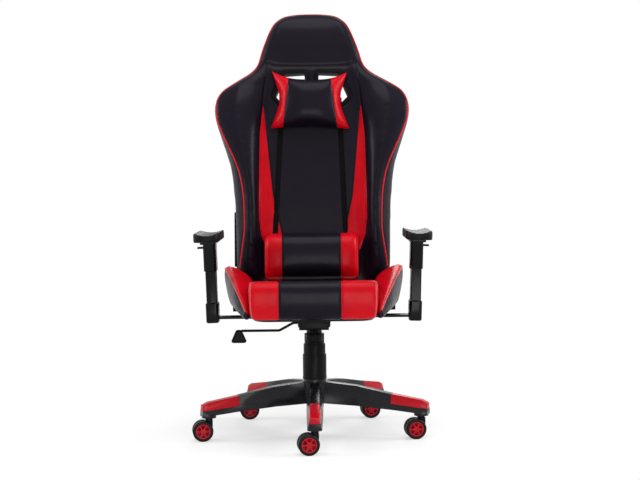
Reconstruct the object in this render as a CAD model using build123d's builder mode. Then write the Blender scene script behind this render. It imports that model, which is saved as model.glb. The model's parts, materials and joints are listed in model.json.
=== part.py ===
from build123d import *
import math
import os

# A high-backed gaming chair on a five-legged base with twin-wheel casters.
# Millimetres. +Z is up, the sitter faces -Y, and the sitter's left hand is on +X.
# The origin is on the floor, on the axis of the gas column.

# ---------------------------------------------------------------- driving dimensions

# Clearances.
RUN = 0.05              # radial play of a shaft in its hole
PLAY = 0.3              # gap between faces that pass each other
BOLT_PLAY = 0.2         # radial play of a bolt in its clearance hole

# Star base.
LEG_COUNT = 5
FRONT_LEG_ANGLE = -90
STEM_CIRCLE_R = 315     # where the casters stand
HUB_R = 40
HUB_BOTTOM = 91
HUB_TOP = 152
HUB_RING_R = 32.5
HUB_RING_TOP = 160
LEG_WALL = 3.5
RIB_T = 2.6
CAVITY_START = 46
TIP_BOSS_R = 20.5
TIP_BOSS_BOTTOM = 65
STEM_SOCKET_DEPTH = 31
CAP_START = 230
CAP_T = 2.7
CAP_SKIRT_LIFT = 16     # black band left under the cap
# radius, top height, underside height, foot width, top width
LEG_STATIONS = (
    (30, 152, 91, 48, 27),
    (126, 143.5, 88, 48, 26),
    (240, 122, 79.5, 45, 25),
    (318, 109.5, 71.5, 41, 24),
    (336, 101, 69, 38, 22),
)

# Casters.
WHEEL_R = 29
WHEEL_W = 17
WHEEL_GAP = 8.6         # between the two wheels of one caster
RIM_R = 20.5
CASTER_TRAIL = 18
CASTER_YAW = 188        # every caster trails towards the sitter's right
AXLE_R = 4
STEM_R = 5.5
CASTER_NECK_R = 10
CASTER_SHOULDER_W = 28
CASTER_WEB_R = 13
SPOKE_W = 4
SPOKE_COUNT = 6
WHEEL_BOSS_R = 8
WHEEL_DISC_T = 4
TREAD_CHAMFER = 2.5
RIM_FLANGE = 3
MUDGUARD_GAP = 1.3      # between a tyre and the body above it
MUDGUARD_LIFT = 9
WHEEL_WEB_T = 2         # closed disc behind the spokes

# Gas column.
PIPE_R = 25
PIPE_WALL = 2
PIPE_BOTTOM = 76
PIPE_TOP = 226          # clear of the upper cover's lid with the seat right down
PIPE_FLOOR_T = 3
BEARING_T = 3
TUBE_R = 14
TUBE_WALL = 2
TUBE_BOTTOM = 145
TUBE_TAPER_START = 291
TUBE_TOP = 313
TUBE_TOP_R = 13
VALVE_PIN_R = 4
VALVE_PIN_H = 0.5
ROD_R = 5
PISTON_H = 10
BUSH_LENGTH = 60
LIFT_UP = 40
COVER_WALL = 1.5
COVER_LIP = 0.9
LOWER_COVER_R = 34
LOWER_COVER_TOP = 230
MIDDLE_COVER_R = 31.4
MIDDLE_COVER_BOTTOM = 193
MIDDLE_COVER_TOP = 260
UPPER_COVER_R = 28.5
UPPER_COVER_BOTTOM = 228
UPPER_COVER_TOP = 290

# Tilt mechanism.
HOUSING_HALF_W = 42
HOUSING_FRONT = -100
HOUSING_REAR = 45
HOUSING_BOTTOM = 309
HOUSING_TOP = 334
HOUSING_REAR_TOP = 318
HOUSING_SLOPE_START = -30
STEEL_T = 3
SLEEVE_R = 22
TILT_PIN_Y = -45
TILT_PIN_Z = 322
TILT_PIN_R = 5
EAR_R = 11
PLATE_BOTTOM = 338
PLATE_T = 4
PLATE_HALF_W = 95
PLATE_FRONT = -92
PLATE_REAR = 84
TENSION_Y = -75
KNOB_R = 23
KNOB_BOTTOM = 278
KNOB_H = 18
KNOB_FLUTES = 12
TENSION_BOLT_R = 5
SPRING_R = 13.5
SPRING_WIRE = 3.2
SPRING_TURNS = 4

# Height and tilt lever on the sitter's right.
LEVER_Y = -5
LEVER_Z = 321
LEVER_ROD_R = 3.75
LEVER_BARREL_R = 4.8    # pivot of the lever, lying front to back in the housing's wall
LEVER_BARREL_L = 10
LEVER_NOSE_X = 2        # the inner end, over the gas spring's release pin
LEVER_DROP_Z = 299.5
LEVER_BEND_START_X = -60
LEVER_BEND_END_X = -100
LEVER_END_X = -210
PADDLE_TOP_W = 16
PADDLE_FOOT_W = 46
PADDLE_X = -217
PADDLE_TOP = 303
PADDLE_FOOT = 264
PADDLE_T = 20
PADDLE_BEVEL = 3
PADDLE_TAPER = 8

# Seat.
FRAME_TUBE_R = 9
FRAME_TUBE_WALL = 1.5
WELD_SINK = 0.5         # how far a welded tube sits into its flat strip
FRAME_HALF_W = 160
FRAME_FRONT = -200
FRAME_REAR = 134
FRAME_BEND_R = 40
STRIP_T = 3
STRIP_W = 40
REAR_STRIP_W = 36
ARM_STRIP_X = 155       # flat pads under the side tubes, where the armrests bolt on
ARM_STRIP_L = 56
STRIP_Y = (-70, 60)
BOLT_X = 80
BOLT_R = 4
BOLT_HEAD_R = 7.5
BOLT_HEAD_H = 5.5
SEAT_HALF_W = 172
SEAT_FRONT = -290
SEAT_REAR = 138
SEAT_FRONT_TOP = 463
SEAT_REAR_TOP = 424
SEAT_UNDERSIDE = 362.8
ROLL_BOTTOM = 352
ROLL_DEPTH = 72
BOLSTER_FRONT = -272
BOLSTER_IN_X = SEAT_HALF_W + PLAY
# Bolster sections, as (distance from the middle, height), at the rear and at the front.
BOLSTER_REAR = ((BOLSTER_IN_X, 350), (BOLSTER_IN_X, 442), (242, 481), (270, 475), (251, 381), (222, 347))
BOLSTER_TIP = ((BOLSTER_IN_X, 356), (BOLSTER_IN_X, 374), (176, 385), (183, 383), (190, 371), (186, 357))

# Armrests.
ARM_X = 290
ARM_SPLAY = 1.8
ARM_BAR_T = 6
ARM_BAR_W = 50
ARM_BOLT_X = 142
ARM_BOLT_Y = 15
SHROUD_BOTTOM = 325
SHROUD_TOP = 383
SHROUD_W = 37
SHROUD_D = 62
SHROUD_CHAMFER = 3
COLUMN_W = 30
COLUMN_D = 52
COLUMN_TOP = 484
COLUMN_WALL = 3
BRACKET_LEG_TOP = 375
SLEEVE_BOTTOM = 474
SLEEVE_TOP = 553
SLEEVE_W = 37
SLEEVE_D = 60
SLEEVE_WALL = 2.5
SLEEVE_CEILING = 535
POST_BOTTOM = 440
PAD_BOTTOM = 561
PAD_TOP = 588
PAD_HALF_W = 37
PAD_HALF_L = 125
PAD_CORNER_R = 29
PAD_SADDLE = 10
PAD_PIVOT_R = 6
TRIGGER_Z = 541
TRIGGER_HALF_L = 13
TRIGGER_T = 5
TRIGGER_REACH = 33
TRIGGER_PIVOT_X = 8
TRIGGER_PIN_R = 2.5
TRIGGER_PIN_REACH = 4   # past each end of the trigger, into the post
ARM_PAD_Y = -15

# Recline hinge and back.
PIVOT_Y = 190
PIVOT_Z = 395
BACK_LEAN = 8.5
HINGE_PIN_R = 8
BACK_PLATE_X = 205
HINGE_PLATE_T = 4
COVER_OUTER_X = 242
# Corners of a hinge cover's outline, from the hinge line.
HINGE_COVER = ((-47, -55), (25, -55), (46, -22), (46, 8), (22, 40), (-30, 40), (-47, 10))
HINGE_COVER_R = 8
HINGE_SPACER_T = 4
RECLINER_REACH = 50     # how far the recliner's flange runs back past the seat
BACK_HEIGHT = 854       # along the lean, from the hinge
BACK_REAR = -35         # depth of the rear face behind the hinge line
BACK_FACE = 15          # front of the middle panel
BACK_TUBE_R = 10
BACK_TUBE_X = 190
BACK_TUBE_FOOT = 24
BACK_TUBE_BEND_R = 24
BACK_TUBE_MARGIN = 18   # foam left between an opening and the tube
BACK_TUBE_WAIST_DROP = 80
BACK_TUBE_TAPER = 36    # how far the tube closes in above the openings
BACK_TUBE_HEAD_DROP = 70
BACK_BARS = (110, 330)  # heights of the two lower cross bars
BACK_BAR_DROP = 60      # the third lies this far below the openings
HINGE_PLATE_TOP = 130
HINGE_WELD_HEIGHT = 95
HINGE_WELD_L = 60
BACK_CROWN = 8          # rise of the head's top edge
# Corners of half the back's outline: half width, height along the lean, rounding.
BACK_CORNERS = (
    (97.5, BACK_HEIGHT - BACK_CROWN, 38),
    (158, 701, 90),
    (306, 579, 60),
    (231.5, 345, 350),
)
BACK_FOOT = (231, 66)
NECK_HALF_W = 195       # width left beside the hinge plates
NECK_TOP = 66
# Crest of the side wings, as (depth, height along the lean), and where they leave the panel.
WING_CREST = ((40, 66), (74, 215), (75, 530), (BACK_FACE, 690))
WING_CREST_R = 150
WING_INNER = ((150, 66), (157, 390), (229, 700))
WING_INNER_R = 300
BEZEL_T = 5
BEZEL_FLANGE = 6
BEZEL_PROUD = 2
# Corners of the left harness opening: half width, height along the lean.
OPENING = (
    (16, 672),
    (16, 578),
    (92, 567),
    (117, 592),
    (84, 668),
)
OPENING_R = 8
LEVER_GRIP_V = -24
LEVER_GRIP_ROOM = 40
LEVER_GRIP_W = 28
LEVER_GRIP_START = 78
LEVER_GRIP_END = 244
LEVER_IN_X = 227.6
LEVER_OUT_X = 239
LEVER_SLOT_DROP = 26    # how far the hinge covers are open below the hinge line
HEAD_PILLOW_BOTTOM = 487
HEAD_PILLOW_TOP = 673
HEAD_PILLOW_HALF_W = 116
HEAD_PILLOW_WAIST = 94
HEAD_PILLOW_T = 70
LUMBAR_BOTTOM = 28
LUMBAR_TOP = 174
LUMBAR_HALF_W = 140
LUMBAR_T = 85
LUMBAR_EDGE_R = 20
STRAP_W = 14
STRAP_T = 1.6
STRAP_FOOT_X = 109
HEAD_STRAP_RISE = 22
HEAD_STRAP_IN = 12
LUMBAR_STRAP_IN = 6
HEAD_PILLOW_DIP = 30    # how far the pillow's top edge dips between its corners
HEAD_PILLOW_RISE = 10

# ---------------------------------------------------------------- shared planes and helpers

SIDES = ((1, "left"), (-1, "right"))
LEAN_SIN = math.sin(math.radians(BACK_LEAN))
LEAN_COS = math.cos(math.radians(BACK_LEAN))
PIVOT = (0, PIVOT_Y, PIVOT_Z)
# On BACK_PLANE, x is across the chair, y runs up the back and the normal points forward.
BACK_PLANE = Plane(origin=PIVOT, x_dir=(1, 0, 0), z_dir=(0, -LEAN_COS, LEAN_SIN))
# On BACK_SIDE, x is forward from the back, y runs up it and the normal is -X.
BACK_SIDE = Plane(origin=PIVOT, x_dir=(0, -LEAN_COS, LEAN_SIN), z_dir=(-1, 0, 0))
BACK_DEPTH = BACK_FACE - BACK_REAR
STRIP_BOTTOM = PLATE_BOTTOM + PLATE_T
STRIP_TOP = STRIP_BOTTOM + STRIP_T
FRAME_TUBE_Z = STRIP_TOP + FRAME_TUBE_R - WELD_SINK

os.makedirs("parts", exist_ok=True)


def keep(piece, label):
    """Label a finished piece and write it to its own file."""
    piece.part.label = label
    export_step(piece.part, f"parts/{label}.step")


def keep_together(pieces, label):
    """Write solids that are fixed to each other, but stay separate, to one file."""
    group = Compound([solid for piece in pieces for solid in piece.part.solids()])
    group.label = label
    export_step(group, f"parts/{label}.step")


def leg_size(radius):
    """Top, underside, foot width and top width of a leg at a distance from the column."""
    for near, far in zip(LEG_STATIONS, LEG_STATIONS[1:]):
        if radius <= far[0]:
            share = (radius - near[0]) / (far[0] - near[0])
            return [a + share * (b - a) for a, b in zip(near[1:], far[1:])]
    return list(LEG_STATIONS[-1][1:])


def leg_section(radius, wall=0):
    """Trapezoid across a leg, pulled in by a wall on its top and flanks."""
    top, underside, foot, crown = leg_size(radius)
    with BuildSketch(Plane.YZ.offset(radius)) as section:
        with BuildLine():
            Polyline(
                (-foot / 2 + wall, underside),
                (foot / 2 - wall, underside),
                (crown / 2 - wall / 2, top - wall),
                (-crown / 2 + wall / 2, top - wall),
                close=True,
            )
        make_face()
    return section.sketch


def ring(outer_r, inner_r, bottom, top):
    """A plain ring about the column axis."""
    with BuildPart() as piece:
        with BuildSketch(Plane.XY.offset(bottom)):
            Circle(outer_r)
            Circle(inner_r, mode=Mode.SUBTRACT)
        extrude(amount=top - bottom)
    return piece.part


def turned(*points):
    """A solid turned about the column axis from (radius, height) points."""
    with BuildPart() as piece:
        with BuildSketch(Plane.XZ):
            with BuildLine():
                Polyline(*points, close=True)
            make_face()
        revolve(axis=Axis.Z)
    return piece.part


# ---------------------------------------------------------------- star base

with BuildPart() as leg_outside:
    for station in LEG_STATIONS:
        add(leg_section(station[0]))
    loft(ruled=True)

with BuildPart() as leg_core:
    for station_r in (CAP_START - 10, LEG_STATIONS[2][0], LEG_STATIONS[3][0]):
        add(leg_section(station_r, CAP_T))
    tip_r = LEG_STATIONS[4][0] - CAP_T
    add(leg_section(tip_r, CAP_T))
    loft(ruled=True)

with BuildPart() as leg_cap:
    add(leg_outside.part)
    with BuildSketch(Plane.XZ):
        with BuildLine():
            tip = LEG_STATIONS[-1]
            Polyline(
                (CAP_START, leg_size(CAP_START)[1] + CAP_SKIRT_LIFT),
                (tip[0] + 1, tip[2] + CAP_SKIRT_LIFT),
                (tip[0] + 1, HUB_TOP),
                (CAP_START, HUB_TOP),
                close=True,
            )
        make_face()
    extrude(amount=HUB_R, both=True, mode=Mode.INTERSECT)
    add(leg_core.part, mode=Mode.SUBTRACT)

with BuildPart() as leg_cavity:
    for station_r in (CAVITY_START, LEG_STATIONS[1][0], CAP_START - LEG_WALL):
        add(leg_section(station_r, LEG_WALL))
    loft(ruled=True)
    for station_r in (CAP_START - LEG_WALL, LEG_STATIONS[2][0], STEM_CIRCLE_R - TIP_BOSS_R):
        add(leg_section(station_r, LEG_WALL + CAP_T))
    loft(ruled=True)

with BuildPart() as leg_ribs:
    add(leg_cavity.part)
    rib_run = STEM_CIRCLE_R - CAVITY_START
    with BuildSketch(Plane.XY.offset(TIP_BOSS_BOTTOM)):
        with Locations((CAVITY_START + rib_run / 2, 0)):
            Rectangle(rib_run, RIB_T)
        with Locations((CAVITY_START + rib_run / 2, 0)):
            with GridLocations(rib_run / 6, 1, 5, 1):
                Rectangle(RIB_T, 2 * HUB_R)
    extrude(amount=HUB_TOP - TIP_BOSS_BOTTOM, mode=Mode.INTERSECT)

with BuildPart() as leg:
    add(leg_outside.part)
    add(leg_cap.part, mode=Mode.SUBTRACT)
    add(leg_cavity.part, mode=Mode.SUBTRACT)
    add(leg_ribs.part)
    with BuildSketch(Plane.XY.offset(TIP_BOSS_BOTTOM)):
        with Locations((STEM_CIRCLE_R, 0)):
            Circle(TIP_BOSS_R)
    extrude(amount=leg_size(STEM_CIRCLE_R)[1] - TIP_BOSS_BOTTOM + 1)
    with BuildSketch(Plane.XY.offset(TIP_BOSS_BOTTOM)):
        with Locations((STEM_CIRCLE_R, 0)):
            Circle(STEM_R + RUN)
    extrude(amount=STEM_SOCKET_DEPTH, mode=Mode.SUBTRACT)

with BuildPart() as star_base:
    with BuildSketch(Plane.XY.offset(HUB_BOTTOM)):
        Circle(HUB_R)
    extrude(amount=HUB_TOP - HUB_BOTTOM)
    with BuildSketch(Plane.XY.offset(HUB_TOP)):
        Circle(HUB_RING_R)
    extrude(amount=HUB_RING_TOP - HUB_TOP)
    with PolarLocations(0, LEG_COUNT, start_angle=FRONT_LEG_ANGLE):
        add(leg.part)
    with BuildSketch(Plane.XY.offset(HUB_BOTTOM - LEG_WALL)):
        Circle(PIPE_R)
    extrude(amount=HUB_RING_TOP, mode=Mode.SUBTRACT)
keep(star_base, "star_base")

with BuildPart() as leg_caps:
    with PolarLocations(0, LEG_COUNT, start_angle=FRONT_LEG_ANGLE):
        add(leg_cap.part)
keep(leg_caps, "leg_caps")

# ---------------------------------------------------------------- gas column

with BuildPart() as gas_standpipe:
    add(ring(PIPE_R, PIPE_R - PIPE_WALL, PIPE_BOTTOM + PIPE_FLOOR_T, PIPE_TOP))
    add(ring(PIPE_R, ROD_R + BOLT_PLAY, PIPE_BOTTOM, PIPE_BOTTOM + PIPE_FLOOR_T))
keep(gas_standpipe, "gas_standpipe")

with BuildPart() as standpipe_bush:
    add(ring(PIPE_R - PIPE_WALL, TUBE_R + RUN, PIPE_TOP - BUSH_LENGTH, PIPE_TOP))
keep(standpipe_bush, "standpipe_bush")

bearing_bottom = PIPE_BOTTOM + PIPE_FLOOR_T
bearing_top = bearing_bottom + BEARING_T
with BuildPart() as thrust_bearing:
    add(ring(2.4 * ROD_R, ROD_R + BOLT_PLAY, bearing_bottom, bearing_top))
keep(thrust_bearing, "thrust_bearing")

collar_r = 1.8 * ROD_R
collar_bottom = bearing_top + RUN
collar_top = collar_bottom + 2
piston_bottom = TUBE_BOTTOM + 5 + LIFT_UP + PLAY
with BuildPart() as piston_rod:
    outline = (
        (0, PIPE_BOTTOM - 6),
        (ROD_R, PIPE_BOTTOM - 6),
        (ROD_R, collar_bottom),
        (collar_r, collar_bottom),
        (collar_r, collar_top),
        (ROD_R, collar_top),
        (ROD_R, piston_bottom),
        (TUBE_R - TUBE_WALL - RUN, piston_bottom),
        (TUBE_R - TUBE_WALL - RUN, piston_bottom + PISTON_H),
        (0, piston_bottom + PISTON_H),
    )
    add(turned(*outline))
keep(piston_rod, "piston_rod")

with BuildPart() as retaining_clip:
    add(ring(collar_r, ROD_R, PIPE_BOTTOM - 3, PIPE_BOTTOM - RUN))
    with BuildSketch(Plane.XY.offset(PIPE_BOTTOM - 3)):
        with Locations((collar_r, 0)):
            Rectangle(2 * collar_r, ROD_R)
    extrude(amount=3, mode=Mode.SUBTRACT)
keep(retaining_clip, "retaining_clip")

with BuildPart() as gas_tube:
    outline = (
        (ROD_R + RUN, TUBE_BOTTOM),
        (TUBE_R, TUBE_BOTTOM),
        (TUBE_R, TUBE_TAPER_START),
        (TUBE_TOP_R, TUBE_TOP),
        (VALVE_PIN_R, TUBE_TOP),
        (VALVE_PIN_R, TUBE_TOP + VALVE_PIN_H),
        (0, TUBE_TOP + VALVE_PIN_H),
        (0, TUBE_TAPER_START),
        (TUBE_R - TUBE_WALL, TUBE_TAPER_START),
        (TUBE_R - TUBE_WALL, TUBE_BOTTOM + 5),
        (ROD_R + RUN, TUBE_BOTTOM + 5),
    )
    add(turned(*outline))
keep(gas_tube, "gas_tube")

with BuildPart() as dust_cover_lower:
    outline = (
        (PIPE_R, HUB_RING_TOP),
        (LOWER_COVER_R + 1, HUB_RING_TOP),
        (LOWER_COVER_R, HUB_RING_TOP + 8),
        (LOWER_COVER_R, LOWER_COVER_TOP),
        (MIDDLE_COVER_R + PLAY, LOWER_COVER_TOP),
        (MIDDLE_COVER_R + PLAY, LOWER_COVER_TOP - COVER_WALL),
        (LOWER_COVER_R - COVER_WALL, LOWER_COVER_TOP - COVER_WALL),
        (LOWER_COVER_R - COVER_WALL, HUB_RING_TOP + COVER_WALL),
        (PIPE_R, HUB_RING_TOP + COVER_WALL),
    )
    add(turned(*outline))
keep(dust_cover_lower, "dust_cover_lower")

with BuildPart() as dust_cover_middle:
    outline = (
        (MIDDLE_COVER_R - COVER_WALL, MIDDLE_COVER_BOTTOM),
        (LOWER_COVER_R - COVER_WALL - PLAY, MIDDLE_COVER_BOTTOM),
        (LOWER_COVER_R - COVER_WALL - PLAY, MIDDLE_COVER_BOTTOM + COVER_WALL),
        (MIDDLE_COVER_R, MIDDLE_COVER_BOTTOM + COVER_WALL),
        (MIDDLE_COVER_R, MIDDLE_COVER_TOP),
        (UPPER_COVER_R + PLAY, MIDDLE_COVER_TOP),
        (UPPER_COVER_R + PLAY, MIDDLE_COVER_TOP - COVER_WALL),
        (MIDDLE_COVER_R - COVER_WALL, MIDDLE_COVER_TOP - COVER_WALL),
    )
    add(turned(*outline))
keep(dust_cover_middle, "dust_cover_middle")

with BuildPart() as dust_cover_upper:
    outline = (
        (UPPER_COVER_R - COVER_WALL, UPPER_COVER_BOTTOM),
        (MIDDLE_COVER_R - COVER_WALL - PLAY, UPPER_COVER_BOTTOM),
        (MIDDLE_COVER_R - COVER_WALL - PLAY, UPPER_COVER_BOTTOM + COVER_WALL),
        (UPPER_COVER_R, UPPER_COVER_BOTTOM + COVER_WALL),
        (UPPER_COVER_R, UPPER_COVER_TOP),
        (TUBE_R, UPPER_COVER_TOP),
        (TUBE_R, UPPER_COVER_TOP - 2 * COVER_WALL),
        (UPPER_COVER_R - COVER_WALL, UPPER_COVER_TOP - 2 * COVER_WALL),
    )
    add(turned(*outline))
keep(dust_cover_upper, "dust_cover_upper")

# ---------------------------------------------------------------- tilt mechanism

with BuildPart() as tilt_housing:
    with BuildSketch(Plane.YZ):
        with BuildLine():
            Polyline(
                (HOUSING_FRONT, HOUSING_BOTTOM),
                (HOUSING_REAR, HOUSING_BOTTOM),
                (HOUSING_REAR, HOUSING_REAR_TOP),
                (HOUSING_SLOPE_START, HOUSING_TOP),
                (HOUSING_FRONT, HOUSING_TOP),
                close=True,
            )
        make_face()
    extrude(amount=HOUSING_HALF_W, both=True)
    chamfer(edges().filter_by(Axis.X).group_by(Axis.Z)[0].sort_by(Axis.Y)[0], 2 * STEEL_T)
    with BuildSketch(Plane.XY.offset(HOUSING_BOTTOM + STEEL_T)):
        with Locations(((0, (HOUSING_FRONT + 2 * STEEL_T + HOUSING_REAR) / 2))):
            Rectangle(
                2 * (HOUSING_HALF_W - STEEL_T),
                HOUSING_REAR - HOUSING_FRONT - 4 * STEEL_T,
            )
    extrude(amount=HOUSING_TOP, mode=Mode.SUBTRACT)
    with BuildSketch(Plane.XY.offset(TUBE_TAPER_START)):
        Circle(SLEEVE_R)
    extrude(amount=HOUSING_BOTTOM - TUBE_TAPER_START)
    add(gas_tube.part, mode=Mode.SUBTRACT)
    with BuildSketch(Plane.XY.offset(HOUSING_BOTTOM)):
        with Locations((0, TENSION_Y)):
            Circle(2 * TENSION_BOLT_R)
    extrude(amount=STEEL_T, mode=Mode.SUBTRACT)
    with BuildSketch(Plane.YZ):
        with Locations((TILT_PIN_Y, TILT_PIN_Z)):
            Circle(TILT_PIN_R + RUN)
    extrude(amount=HOUSING_HALF_W, both=True, mode=Mode.SUBTRACT)
    with BuildSketch(Plane.YZ):
        with Locations((LEVER_Y, LEVER_Z)):
            Rectangle(LEVER_BARREL_L + 2 * PLAY, 2 * (LEVER_BARREL_R + RUN))
    extrude(amount=-HOUSING_HALF_W, mode=Mode.SUBTRACT)
keep(tilt_housing, "tilt_housing")

spring_bottom = KNOB_BOTTOM + STEEL_T
spring_length = HOUSING_BOTTOM - spring_bottom - 2 * RUN
with BuildPart() as tension_spring:
    with BuildLine() as spring_line:
        Helix(
            pitch=(spring_length - SPRING_WIRE) / SPRING_TURNS,
            height=spring_length - SPRING_WIRE,
            radius=SPRING_R,
            center=(0, TENSION_Y, spring_bottom + RUN + SPRING_WIRE / 2),
        )
    with BuildSketch(Plane(origin=spring_line.line @ 0, z_dir=spring_line.line % 0)):
        RegularPolygon(SPRING_WIRE / 2, 6)
    sweep(is_frenet=True)
keep(tension_spring, "tension_spring")

with BuildPart() as tension_knob:
    with BuildSketch(Plane.XY.offset(KNOB_BOTTOM)):
        with Locations((0, TENSION_Y)):
            Circle(KNOB_R)
            with PolarLocations(KNOB_R + 1, KNOB_FLUTES):
                Circle(2.5, mode=Mode.SUBTRACT)
    extrude(amount=KNOB_H)
    with BuildSketch(Plane.XY.offset(spring_bottom)):
        with Locations((0, TENSION_Y)):
            Circle(SPRING_R + SPRING_WIRE)
    extrude(amount=KNOB_H, mode=Mode.SUBTRACT)
    with BuildSketch(Plane.XY.offset(KNOB_BOTTOM)):
        with Locations((0, TENSION_Y)):
            Circle(TENSION_BOLT_R)
    extrude(amount=PLATE_BOTTOM + PLATE_T - PLAY - KNOB_BOTTOM)
keep(tension_knob, "tension_knob")

lever_pivot_x = STEEL_T / 2 - HOUSING_HALF_W
with BuildPart() as lever_bush:
    with BuildSketch(Plane.XZ.offset(-LEVER_Y)):
        with Locations((lever_pivot_x, LEVER_Z)):
            Circle(LEVER_BARREL_R)
    extrude(amount=LEVER_BARREL_L / 2, both=True)
    with BuildSketch(Plane.YZ.offset(lever_pivot_x)):
        with Locations((LEVER_Y, LEVER_Z)):
            Circle(LEVER_ROD_R + RUN)
    extrude(amount=LEVER_BARREL_R, both=True, mode=Mode.SUBTRACT)
keep(lever_bush, "lever_bush")

with BuildPart() as paddle_blank:
    with BuildSketch(Plane.XZ.offset(-LEVER_Y)):
        with BuildLine():
            Polyline(
                (PADDLE_X - PADDLE_TOP_W / 2, PADDLE_TOP),
                (PADDLE_X + PADDLE_TOP_W / 2, PADDLE_TOP),
                (PADDLE_X + PADDLE_FOOT_W / 2, PADDLE_FOOT + 2 * PADDLE_BEVEL),
                (PADDLE_X + PADDLE_FOOT_W / 2 - PADDLE_BEVEL, PADDLE_FOOT),
                (PADDLE_X - PADDLE_FOOT_W / 2 + PADDLE_BEVEL, PADDLE_FOOT),
                (PADDLE_X - PADDLE_FOOT_W / 2, PADDLE_FOOT + 2 * PADDLE_BEVEL),
                close=True,
            )
        make_face()
    extrude(amount=PADDLE_T / 2, both=True, taper=PADDLE_TAPER)

with BuildPart() as lever_rod:
    with BuildLine() as lever_line:
        FilletPolyline(
            (LEVER_NOSE_X, LEVER_Y, LEVER_Z),
            (LEVER_BEND_START_X, LEVER_Y, LEVER_Z),
            (LEVER_BEND_END_X, LEVER_Y, LEVER_DROP_Z),
            (LEVER_END_X, LEVER_Y, LEVER_DROP_Z),
            radius=4 * LEVER_ROD_R,
        )
    with BuildSketch(Plane(origin=lever_line.line @ 0, z_dir=lever_line.line % 0)):
        Circle(LEVER_ROD_R)
    sweep()
keep(lever_rod, "lever_rod")

with BuildPart() as lever_paddle:
    add(paddle_blank.part)
    add(lever_rod.part, mode=Mode.SUBTRACT)
keep(lever_paddle, "lever_paddle")

# ---------------------------------------------------------------- tilt plate and seat frame

with BuildPart() as plate_sheet:
    with BuildSketch(Plane.XY.offset(PLATE_BOTTOM)):
        with Locations((0, (PLATE_FRONT + PLATE_REAR) / 2)):
            RectangleRounded(2 * PLATE_HALF_W, PLATE_REAR - PLATE_FRONT, 2 * BOLT_HEAD_R)
        with Locations((0, TENSION_Y)):
            Circle(TENSION_BOLT_R + RUN, mode=Mode.SUBTRACT)
        with Locations(*[(x, y) for x in (-BOLT_X, BOLT_X) for y in STRIP_Y]):
            Circle(BOLT_R + BOLT_PLAY, mode=Mode.SUBTRACT)
        with Locations((0, HOUSING_REAR / 2)):
            RectangleRounded(HOUSING_HALF_W, HOUSING_REAR, STRIP_T, mode=Mode.SUBTRACT)
    extrude(amount=PLATE_T)


def plate_ear(side):
    """Lug welded under the plate, carrying one end of the tilt pin."""
    with BuildPart() as ear:
        with BuildSketch(Plane.YZ.offset(side * (HOUSING_HALF_W + PLAY))):
            with Locations((TILT_PIN_Y, TILT_PIN_Z)):
                Circle(EAR_R)
            with Locations((TILT_PIN_Y, PLATE_BOTTOM)):
                Rectangle(3 * EAR_R, 1, align=(Align.CENTER, Align.MAX))
            make_hull()
            with Locations((TILT_PIN_Y, TILT_PIN_Z)):
                Circle(TILT_PIN_R, mode=Mode.SUBTRACT)
        extrude(amount=side * STEEL_T)
    return ear


keep_together((plate_sheet, plate_ear(1), plate_ear(-1)), "tilt_plate")

pin_half = HOUSING_HALF_W + PLAY + STEEL_T
with BuildPart() as tilt_pin:
    with BuildSketch(Plane.YZ.offset(-pin_half - 2)):
        with Locations((TILT_PIN_Y, TILT_PIN_Z)):
            Circle(TILT_PIN_R)
    extrude(amount=2 * pin_half + 4)
    with BuildSketch(Plane.YZ.offset(pin_half)):
        with Locations((TILT_PIN_Y, TILT_PIN_Z)):
            Circle(1.4 * TILT_PIN_R)
    extrude(amount=2)
keep(tilt_pin, "tilt_pin")


def seat_bolt(x, y, clamp_bottom):
    """A hexagon bolt with its nut, and the head under the clamped sheets."""
    with BuildPart() as bolt:
        with BuildSketch(Plane.XY.offset(clamp_bottom)):
            with Locations((x, y)):
                RegularPolygon(BOLT_HEAD_R, 6)
        extrude(amount=-BOLT_HEAD_H)
        with BuildSketch(Plane.XY.offset(clamp_bottom)):
            with Locations((x, y)):
                Circle(BOLT_R)
        extrude(amount=STRIP_TOP + BOLT_HEAD_H - clamp_bottom)
        with BuildSketch(Plane.XY.offset(STRIP_TOP)):
            with Locations((x, y)):
                RegularPolygon(BOLT_HEAD_R, 6)
        extrude(amount=BOLT_HEAD_H)
    return bolt.part


hinge_bolt_y = (FRAME_REAR - 26, FRAME_REAR - 8)
with BuildPart() as seat_bolts:
    for bolt_x in (-BOLT_X, BOLT_X):
        for bolt_y in STRIP_Y:
            add(seat_bolt(bolt_x, bolt_y, PLATE_BOTTOM))
    for bolt_x in (-ARM_BOLT_X, ARM_BOLT_X):
        for bolt_y in (-ARM_BOLT_Y, ARM_BOLT_Y):
            add(seat_bolt(bolt_x, bolt_y, STRIP_BOTTOM - ARM_BAR_T))
        for bolt_y in hinge_bolt_y:
            add(seat_bolt(bolt_x, bolt_y, STRIP_BOTTOM - HINGE_PLATE_T))
keep(seat_bolts, "seat_bolts")

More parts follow.
